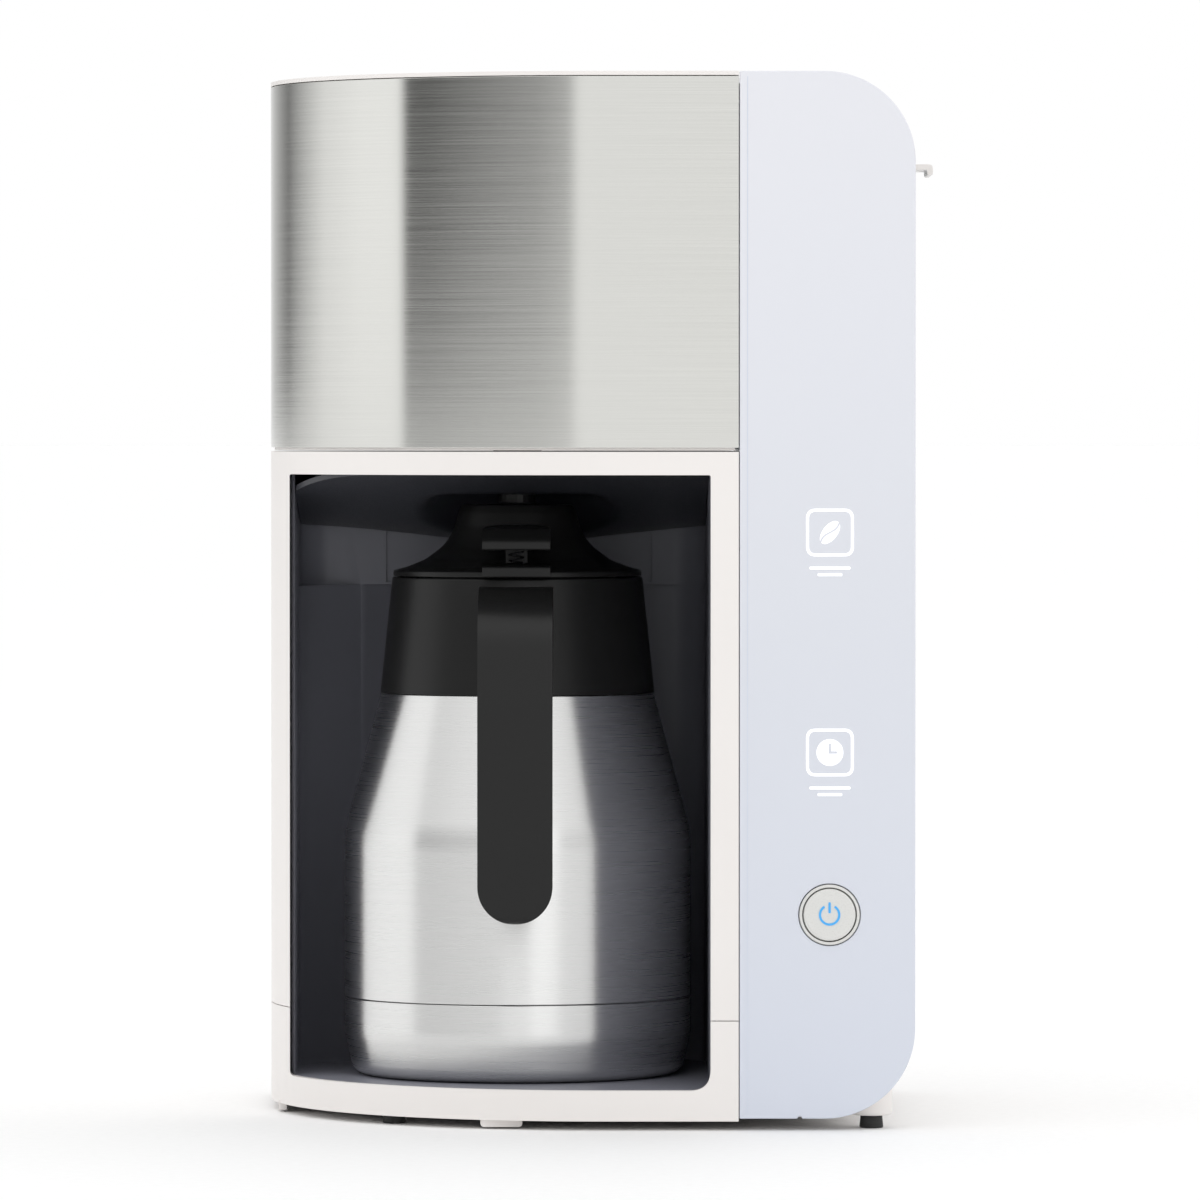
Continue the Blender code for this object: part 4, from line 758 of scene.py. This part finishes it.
def make_side():
    """Lower housing with its foot posts, rounded like the panel in front of it."""
    low, high = limits("side_housing")
    bottom = low.z
    edge = SET("body").edge_round
    base = limits("touch_panel")[0].z + 0.3
    housing = prism("tank_base_housing", side_outline(low.x, high.x, base, high.z, True, False), low.y, high.y, "Y")
    plan = prism("plan", side_plan(low.x, high.x, low.y, high.y, 12.0), -10.0, 400.0)
    carve(housing, "INTERSECT", plan)
    foot_low, foot_high = limits("foot_front_right")
    x = (foot_low.x + foot_high.x) / 2
    for foot in ("foot_front_right", "foot_rear_right"):
        y = (limits(foot)[0].y + limits(foot)[1].y) / 2
        profile = rounded([(0.0, 24.0), (7.7, 24.0), (7.7, bottom, 1.6), (0.0, bottom)], 5, False)
        carve(housing, "UNION", lathe("post", profile, (x, y, 0.0), 48))
    inner = side_outline(low.x - 10, high.x - WALL, base + WALL, high.z - WALL, True, False)
    spout_low, spout_high = limits("tank_socket")
    spout = ((spout_low.x + spout_high.x) / 2, (spout_low.y + spout_high.y) / 2, 0.0)
    gland_low, gland_high = limits("cord_gland")
    cord = ((gland_low.x + gland_high.x) / 2, 0.0, (gland_low.z + gland_high.z) / 2)
    stem_low, stem_high = limits("power_button")
    stem = ((stem_low.x + stem_high.x) / 2, 0.0, (stem_low.z + stem_high.z) / 2)
    carve(housing, "DIFFERENCE", prism("hollow", inner, low.y + WALL, high.y - WALL, "Y"),
          lathe("spout", [(0.0, 260.0), (12.0, 260.0), (12.0, 230.0), (0.0, 230.0)], spout, 48),
          lathe("cord", [(0.0, high.y + 5), (7.3, high.y + 5), (7.3, high.y - 8), (0.0, high.y - 8)], cord, 40, "Y"),
          lathe("stem", [(0.0, low.y + 8), (3.8, low.y + 8), (3.8, low.y - 5), (0.0, low.y - 5)], stem, 32, "Y"))
    soften(housing, edge, 3, 40.0)
    dress(housing, finish_named("abs"), "root", "side_housing", "side_housing")


def make_tank():
    low, high = limits("water_tank")
    lid_low, lid_high = limits("tank_lid")
    wall = 2.2
    spout_z = low.z
    floor = limits("side_housing")[1].z + 0.3
    top = lid_low.z + 2.0 - 0.3
    filter_low, filter_high = limits("water_filter")
    outlet = ((filter_low.x + filter_high.x) / 2, (filter_low.y + filter_high.y) / 2, 0.0)
    tank = prism("tank_body", side_plan(low.x, high.x, low.y, high.y, 12.0), floor, top)
    carve(tank, "UNION", lathe("spout", [(0.0, floor + 1), (10.0, floor + 1), (10.0, spout_z), (0.0, spout_z)],
                               outlet, 48))
    pin_low, pin_high = limits("tank_lid_pin")
    hinge_x, hinge_z = (pin_low.x + pin_high.x) / 2, (pin_low.z + pin_high.z) / 2
    carve(tank, "UNION", block("hinge_wall", (low.x, low.x + wall), (pin_low.y, pin_high.y), (top - 5, hinge_z - 6.5)))
    ears = ((pin_low.y, pin_low.y + 5.4), (pin_high.y - 5.4, pin_high.y))
    for ear in ears:
        carve(tank, "UNION", block("ear", (low.x + 0.1, hinge_x + 2.3), ear, (top - 4, lid_high.z - 0.2)))
    inner = side_plan(low.x + wall, high.x - wall, low.y + wall, high.y - wall, 12.0 - wall)
    carve(tank, "DIFFERENCE", prism("hollow", inner, floor + wall, top + 0.2),
          lathe("bore", [(0.0, 262.0), (7.0, 262.0), (7.0, 200.0), (0.0, 200.0)], outlet, 48))
    soften(tank, SET("body").edge_round, 3, 40.0)
    dress(tank, finish_named("tank"), "tank", "water_tank", "water_tank")
    for i in range(5):
        z = floor + 18.0 + i * 17.0
        mark = block(f"level_line_{i + 1}", (high.x - 0.1, high.x + 0.08), (-70.0, -58.0 if i % 2 else -52.0), (z, z + 0.7))
        dress(mark, printed_ink(f"level_ink_{i + 1}", colour("8C939B"), 0.0), "tank", "water_tank")
    make_tank_lid(lid_low, lid_high, hinge_x, hinge_z, ears)


def make_tank_lid(low, high, hinge_x, hinge_z, ears):
    side = limits("water_tank")[1].x
    left, bottom = hinge_x + 0.2, low.z + 2.0
    wall = 2.2
    lid = prism("tank_cap", side_outline(left, side, bottom, high.z, False, True), low.y, high.y, "Y")
    plan = prism("plan", side_plan(left - 20, side, low.y, high.y, 12.0), 300.0, 400.0)
    carve(lid, "INTERSECT", plan)
    inner = side_outline(left - 10, side - wall, bottom - 10, high.z - wall, False, True)
    carve(lid, "DIFFERENCE", prism("hollow", inner, low.y + wall, high.y - wall, "Y"))
    for ear in ears:
        carve(lid, "DIFFERENCE", block("ear_room", (left - 10, hinge_x + 3.5), (ear[0] - 0.4, ear[1] + 0.4), (300.0, 400.0)))
    bar = lathe("knuckle", [(0.0, ears[1][0] - 0.4), (2.3, ears[1][0] - 0.4), (2.3, ears[0][1] + 0.4),
                            (0.0, ears[0][1] + 0.4)], (hinge_x, 0.0, hinge_z), 32, "Y")
    reach = high.x
    lip = rounded([(side - 1.0, bottom), (reach - 2.2, bottom, 0.5), (reach - 1.9, low.z, 0.6), (reach, low.z, 0.7),
                   (reach, bottom + 2.0, 1.6), (side - 1.0, bottom + 2.0)], 5)
    tab = prism("tab", lip, -12.0, 22.0, "Y")
    carve(lid, "UNION", bar, tab)
    soften(lid, SET("body").edge_round * 0.8, 3, 40.0)
    dress(lid, finish_named("abs"), "tank_cover", "tank_lid", "tank_lid")


# ---------------------------------------------------------------- jug

def make_jug():
    low, high = limits("jug_base_cap")
    at = ((low.x + high.x) / 2, (low.y + high.y) / 2, 0.0)
    radius = (high.x - low.x) / 2
    foot = SET("jug").foot_round / MM
    cap = rounded([(0.0, low.z + 1.6), (0.0, low.z + 0.4), (50.0, low.z + 0.4), (51.0, low.z, 0.4),
                   (radius - 3.4, low.z, foot), (radius, low.z + 16.0, 26.0), (radius, high.z, 0.35),
                   (radius - 1.0, high.z), (radius - 1.0, low.z + 16.5), (radius - 4.8, low.z + 1.6)], 14, False)
    dress(lathe("jug_foot", cap, at, 160), finish_named("jug"), "jug", "jug_base_cap", "jug_base_cap", sharp=60.0)
    shell_low, shell_high = limits("jug_shell")
    collar_low, collar_high = limits("jug_collar")
    wide = (collar_high.x - collar_low.x) / 2
    shoulder = 105.0
    bend = SET("jug").shoulder_round / MM
    neck = 44.5
    outer = [(radius, shell_low.z, 0.3), (radius, shoulder, bend), (wide - 0.3, collar_low.z - 0.3, 0.5),
             (neck + 1.0, collar_low.z + 1.5), (neck, collar_low.z + 3.0), (neck, shell_high.z)]
    inner = [(neck - 1.0, shell_high.z), (neck - 1.0, collar_low.z + 2.2), (wide - 2.0, collar_low.z - 1.4),
             (radius - 1.4, shoulder, bend), (radius - 1.0, shell_low.z)]
    dress(lathe("jug_body", rounded(outer + inner, 18), at, 160), finish_named("jug"), "jug", "jug_shell",
          "jug_shell", sharp=60.0)
    top = (limits("jug_collar")[1].z - 43.0, collar_high.z)
    ring = rounded([(wide, top[0], 0.5), (46.6, top[1], 1.2), (neck + 0.4, top[1]), (neck + 0.4, top[0] + 3.2),
                    (neck + 2.0, top[0] + 2.0), (wide - 0.5, top[0])], 6)
    dress(lathe("jug_band", ring, at, 128), finish_named("black"), "jug", "jug_collar", "jug_collar")
    make_handle(at, wide, collar_low.z, collar_high.z)
    make_stopper(at, collar_high.z + 0.4)


def make_handle(at, wide, collar_low, collar_top):
    low, high = limits("jug_handle")
    front, back = low.y, low.y + 14.0
    root = at[1] - 34.6
    outline = rounded([(root, high.z), (front + 46.0, high.z - 1.0, 40.0), (front + 7.0, high.z - 8.0, 26.0),
                       (front, high.z - 44.0, 26.0), (front, low.z, 4.0), (back, low.z, 5.0),
                       (back, high.z - 46.0, 22.0), (back + 14.0, high.z - 22.5, 16.0), (root, high.z - 20.0)], 14)
    half = (high.x - low.x) / 2
    handle = prism("handle_grip", outline, at[0] - half, at[0] + half, "X")
    face = arc(at[0], low.z + half, half, 180, 360, 48) + [(at[0] + half, high.z + 10), (at[0] - half, high.z + 10)]
    carve(handle, "INTERSECT", prism("face", face, front - 40, 0.0, "Y"))
    seat = [(0.0, collar_top + 5), (46.9, collar_top + 5), (46.9, collar_top - 0.8), (wide + 0.3, collar_low),
            (wide + 14.0, collar_low - 60.0), (0.0, collar_low - 60.0)]
    carve(handle, "DIFFERENCE", lathe("seat", seat, at, 96))
    soften(handle, SET("jug").handle_round, 5, 40.0)
    dress(handle, finish_named("black"), "jug", "jug_handle", "jug_handle", sharp=55.0)


def make_stopper(at, low):
    box_low, box_high = limits("jug_lid")
    top = box_high.z
    cone = [(9.0, top, 0.6), (20.6, top, 1.4), (22.0, top - 3.0, 6.0), (23.4, low + 18.0, 10.0), (27.0, low + 11.5, 16.0),
            (34.5, low + 6.0, 14.0), (41.0, low + 3.4, 3.0), (46.2, low + 2.0, 0.9), (46.2, low, 0.4)]
    under = [(36.6, low), (36.6, low - 14.4), (18.0, low - 14.4), (18.0, low - 12.4), (34.6, low - 12.4),
             (34.6, low + 0.6), (30.0, low + 4.0), (21.4, low + 13.0), (19.6, top - 2.5), (9.0, top - 2.5)]
    lid = lathe("stopper_dome", rounded(cone + under, 10), at, 128)
    lever_low, lever_high = limits("thumb_lever")
    half = (lever_high.x - lever_low.x) / 2
    tip = lever_low.y + 2.0
    bed = rounded([(tip, low, 0.6), (at[1] - 27.0, low), (at[1] - 27.0, low + 4.6), (tip, low + 4.2, 1.4)], 5)
    lip = rounded([(at[0] - 11.0, at[1] + 42.0), (at[0] + 11.0, at[1] + 42.0), (at[0] + 4.5, at[1] + 54.0, 3.0),
                   (at[0] - 4.5, at[1] + 54.0, 3.0)], 6)
    pin_low, pin_high = limits("lever_pin")
    pin_y, pin_z = (pin_low.y + pin_high.y) / 2, (pin_low.z + pin_high.z) / 2
    ear = rounded([(pin_y - 2.6, low + 3.0), (at[1] - 24.0, low + 3.0), (at[1] - 24.0, pin_z + 2.6),
                   (pin_y - 2.6, pin_z + 2.6, 2.4)], 6)
    carve(lid, "UNION", prism("bed", bed, at[0] - half, at[0] + half, "X"), prism("lip", lip, low, low + 3.4),
          prism("ear", ear, at[0] - 4.0, at[0] + 4.0, "X"))
    soften(lid, 0.0004, 2, 50.0)
    dress(lid, finish_named("black"), "jug_stopper", "jug_lid", "jug_lid")
    under_z = lever_low.z
    outline = rounded([(lever_high.y, under_z), (lever_high.y, pin_z + 3.4, 2.0), (pin_y - 4.0, lever_high.z, 6.0),
                       (lever_low.y + 5.5, lever_high.z - 1.4, 6.0), (lever_low.y, lever_high.z - 6.0, 3.0),
                       (lever_low.y, under_z, 0.8)], 8)
    lever = prism("lever_pad", outline, at[0] - half, at[0] + half, "X")
    brow = rounded([(at[0] - half, under_z - 1), (at[0] + half, under_z - 1), (at[0] + half, lever_high.z - 1.2, 1.6),
                    (at[0], lever_high.z + 1.2, 40.0), (at[0] - half, lever_high.z - 1.2, 1.6)], 12)
    carve(lever, "INTERSECT", prism("brow", brow, -90.0, 0.0, "Y"))
    cone = [(0.0, 240.0), (23.0, 240.0), (23.0, low + 20.0), (24.6, low + 18.0), (27.9, low + 12.4),
            (34.4, low + 7.2), (41.5, low + 4.2), (0.0, low + 4.2)]
    carve(lever, "DIFFERENCE", block("slot", (at[0] - 4.4, at[0] + 4.4), (pin_y - 3.4, 0.0), (200.0, 216.2)),
          lathe("cone", cone, at, 96))
    soften(lever, 0.0007, 3, 40.0)
    dress(lever, finish_named("black"), "lever", "thumb_lever", "thumb_lever")


def make_feet():
    for name in ("foot_front_left", "foot_front_right", "foot_rear_left", "foot_rear_right"):
        low, high = limits(name)
        at = ((low.x + high.x) / 2, (low.y + high.y) / 2, 0.0)
        radius = (high.x - low.x) / 2
        profile = rounded([(0.0, high.z), (radius - 0.4, high.z), (radius, low.z, 0.7), (0.0, low.z)], 5, False)
        dress(lathe(f"{name}_pad", profile, at, 48), finish_named("rubber"), "root", name, name)


def finish_inner_pieces():
    """CAD pieces that keep their own shape get the finish of what they are made of."""
    finishes = {
        "abs": ("chamber_tub", "rear_cover", "rear_deck", "panel_carrier", "shower_head", "tank_socket",
                "tank_valve", "water_filter", "check_valve"),
        "liner": ("brew_basket",),
        "black": ("drip_valve", "push_switch", "pour_valve"),
        "jug": ("jug_flask",),
        "steel": ("base_screw_1", "base_screw_2", "base_screw_3", "base_screw_4", "lid_hinge_pin", "tank_lid_pin",
                  "lever_pin", "drip_spring", "tank_valve_spring", "button_spring", "boiler_bracket"),
        "spring": ("lever_spring",),
        "aluminium": ("boiler_tube", "heater_element", "thermostat"),
        "rubber": ("cord_gland",),
        "silicone": ("drip_seal", "tank_valve_seal", "inlet_hose", "riser_hose", "jug_gasket", "pour_seal"),
        "board": ("touch_board", "power_board"),
    }
    for finish, nodes in finishes.items():
        for node in nodes:
            item = frame["nodes"][node]
            item.data.materials.clear()
            item.data.materials.append(finish_named(finish))


# ---------------------------------------------------------------- stage

def make_world():
    """Soft studio: a bright dome over a ring of softer and darker walls that steel shows as upright bands."""
    world = bpy.data.worlds.new("studio")
    bpy.context.scene.world = world
    world.use_nodes = True
    tree = world.node_tree
    tree.nodes.clear()
    place = add(tree, "ShaderNodeTexCoord")
    axes = add(tree, "ShaderNodeSeparateXYZ", {"Vector": place.outputs["Generated"]})
    left = add(tree, "ShaderNodeMath", {0: axes.outputs["X"], 1: -1.0}, operation="MULTIPLY")
    near = add(tree, "ShaderNodeMath", {0: axes.outputs["Y"], 1: -1.0}, operation="MULTIPLY")
    angle = add(tree, "ShaderNodeMath", {0: left.outputs[0], 1: near.outputs[0]}, operation="ARCTAN2")
    turn = add(tree, "ShaderNodeMapRange", {"Value": angle.outputs[0], "From Min": -math.pi, "From Max": math.pi})
    ramp = add(tree, "ShaderNodeValToRGB", {"Fac": turn.outputs["Result"]})
    # Degrees round to the left from straight ahead of the machine, and how bright the wall is there.
    walls = [(-180, 1.0), (-110, 0.95), (-60, 0.6), (-25, 0.6), (-4, 1.0), (7, 1.04), (11, 0.52), (22, 0.36),
             (60, 0.12), (70.5, 0.1), (74, 1.14), (92, 1.12), (112, 0.96), (140, 0.22), (180, 1.0)]
    stops = ramp.color_ramp.elements
    stops[0].position, stops[1].position = 0.0, 1.0
    for degrees, level in walls[1:-1]:
        stops.new((degrees + 180) / 360).color = (level, level, level, 1.0)
    stops[0].color = stops[len(stops) - 1].color = (walls[0][1],) * 3 + (1.0,)
    climb = add(tree, "ShaderNodeMapRange", {"Value": axes.outputs["Z"], "From Min": 0.12, "From Max": 0.4},
                interpolation_type="SMOOTHSTEP")
    dome = add(tree, "ShaderNodeMix", {0: climb.outputs["Result"], 6: ramp.outputs["Color"],
                                       7: (SET("studio").dome,) * 3 + (1.0,)}, data_type="RGBA")
    room = add(tree, "ShaderNodeBackground", {"Color": dome.outputs[2], "Strength": 1.0})
    plain = add(tree, "ShaderNodeBackground", {"Color": (1.0, 1.0, 1.0, 1.0), "Strength": 1.0})
    path = add(tree, "ShaderNodeLightPath")
    mix = add(tree, "ShaderNodeMixShader", {0: path.outputs["Is Camera Ray"], 1: room.outputs[0],
                                            2: plain.outputs[0]})
    add(tree, "ShaderNodeOutputWorld", {"Surface": mix.outputs[0]})


def make_stage():
    bpy.ops.mesh.primitive_plane_add(size=300.0, location=(0.0, 0.0, 0.0))
    floor = bpy.context.object
    floor.name = "studio_floor"
    material, tree, shader = begin("floor_pale_matt", Roughness=0.75)
    shade_between(tree, grain(tree, 4.0), colour("FBFBFB"), colour("FEFEFE"), shader.inputs["Base Color"])
    floor.data.materials.append(material)
    make_world()
    for name, place, size, power in (("top_softbox", (-1.0, -1.6, 4.2), 3.0, SET("studio").key),
                                     ("front_softbox", (1.2, -3.7, 0.7), 1.3, SET("studio").fill)):
        light = bpy.data.lights.new(name, "AREA")
        light.size = size
        light.energy = power
        lamp = bpy.data.objects.new(name, light)
        bpy.context.scene.collection.objects.link(lamp)
        lamp.location = place
        lamp.rotation_euler = (Vector((0.0, 0.0, 0.2)) - Vector(place)).to_track_quat("-Z", "Y").to_euler()
    studio = SET("studio")
    front = limits("touch_panel")[0].y * MM
    camera = bpy.data.cameras.new("camera")
    camera.lens = studio.lens
    camera.sensor_width = 36.0
    view = bpy.data.objects.new("camera", camera)
    bpy.context.scene.collection.objects.link(view)
    view.location = (0.0, front - studio.distance, studio.height)
    aim = Vector((0.0, front, studio.aim_height)) - view.location
    view.rotation_euler = aim.to_track_quat("-Z", "Y").to_euler()
    bpy.context.scene.camera = view
    bpy.context.scene.view_settings.view_transform = "Standard"


# ---------------------------------------------------------------- operators and panel

class BREWER_OT_stage(bpy.types.Operator):
    """Set the floor, light and camera"""
    bl_idname = "brewer.stage"
    bl_label = "Studio Stage"

    def execute(self, context):
        make_stage()
        return {"FINISHED"}


class BREWER_OT_column(bpy.types.Operator):
    """Build the main shell and the base"""
    bl_idname = "brewer.column"
    bl_label = "Main Shell and Base"

    def execute(self, context):
        make_column()
        return {"FINISHED"}


class BREWER_OT_shroud(bpy.types.Operator):
    """Build the brushed steel wrap"""
    bl_idname = "brewer.shroud"
    bl_label = "Steel Shroud"

    def execute(self, context):
        make_shroud()
        return {"FINISHED"}


class BREWER_OT_bay(bpy.types.Operator):
    """Build the jug bay's walls and ceiling"""
    bl_idname = "brewer.bay"
    bl_label = "Jug Bay"

    def execute(self, context):
        make_bay()
        return {"FINISHED"}


class BREWER_OT_lid(bpy.types.Operator):
    """Build the hinged brew lid"""
    bl_idname = "brewer.lid"
    bl_label = "Brew Lid"

    def execute(self, context):
        make_lid()
        return {"FINISHED"}


class BREWER_OT_panel(bpy.types.Operator):
    """Build the touch panel with its icons and power button"""
    bl_idname = "brewer.panel"
    bl_label = "Touch Panel"

    def execute(self, context):
        make_panel()
        make_icons()
        make_button()
        return {"FINISHED"}


class BREWER_OT_tank(bpy.types.Operator):
    """Build the side housing, the water tank and its lid"""
    bl_idname = "brewer.tank"
    bl_label = "Side Housing and Tank"

    def execute(self, context):
        make_side()
        make_tank()
        return {"FINISHED"}


class BREWER_OT_jug(bpy.types.Operator):
    """Build the thermal jug with its handle, stopper and lever"""
    bl_idname = "brewer.jug"
    bl_label = "Thermal Jug"

    def execute(self, context):
        make_jug()
        return {"FINISHED"}


class BREWER_OT_feet(bpy.types.Operator):
    """Build the rubber feet"""
    bl_idname = "brewer.feet"
    bl_label = "Feet"

    def execute(self, context):
        make_feet()
        return {"FINISHED"}


class BREWER_OT_inner(bpy.types.Operator):
    """Finish the pieces inside"""
    bl_idname = "brewer.inner"
    bl_label = "Inner Pieces"

    def execute(self, context):
        finish_inner_pieces()
        return {"FINISHED"}


STEPS = (BREWER_OT_stage, BREWER_OT_column, BREWER_OT_shroud, BREWER_OT_bay, BREWER_OT_lid, BREWER_OT_panel,
         BREWER_OT_tank, BREWER_OT_jug, BREWER_OT_feet, BREWER_OT_inner)


class BREWER_PT_sidebar(bpy.types.Panel):
    """Sizes, colours and steps of the coffee maker"""
    bl_label = "Coffee Maker"
    bl_idname = "BREWER_PT_sidebar"
    bl_space_type = "VIEW_3D"
    bl_region_type = "UI"
    bl_category = "Coffee Maker"

    def draw(self, context):
        for group in GROUPS:
            box = self.layout.box()
            for key in GROUPS[group].__annotations__:
                box.prop(SET(group), key)
        for step in STEPS:
            self.layout.operator(step.bl_idname)


GROUPS = {"body": BREWER_PG_body, "jug": BREWER_PG_jug, "finish": BREWER_PG_finish, "studio": BREWER_PG_studio}


def register():
    for made in (*GROUPS.values(), *STEPS, BREWER_PT_sidebar):
        bpy.utils.register_class(made)
    for group, made in GROUPS.items():
        setattr(bpy.types.Scene, f"brewer_{group}", bpy.props.PointerProperty(type=made))


def unregister():
    for group in GROUPS:
        delattr(bpy.types.Scene, f"brewer_{group}")
    for made in (BREWER_PT_sidebar, *STEPS, *GROUPS.values()):
        bpy.utils.unregister_class(made)


def main():
    register()
    for step in STEPS:
        space, action = step.bl_idname.split(".")
        getattr(getattr(bpy.ops, space), action)()


if __name__ == "__main__":
    main()
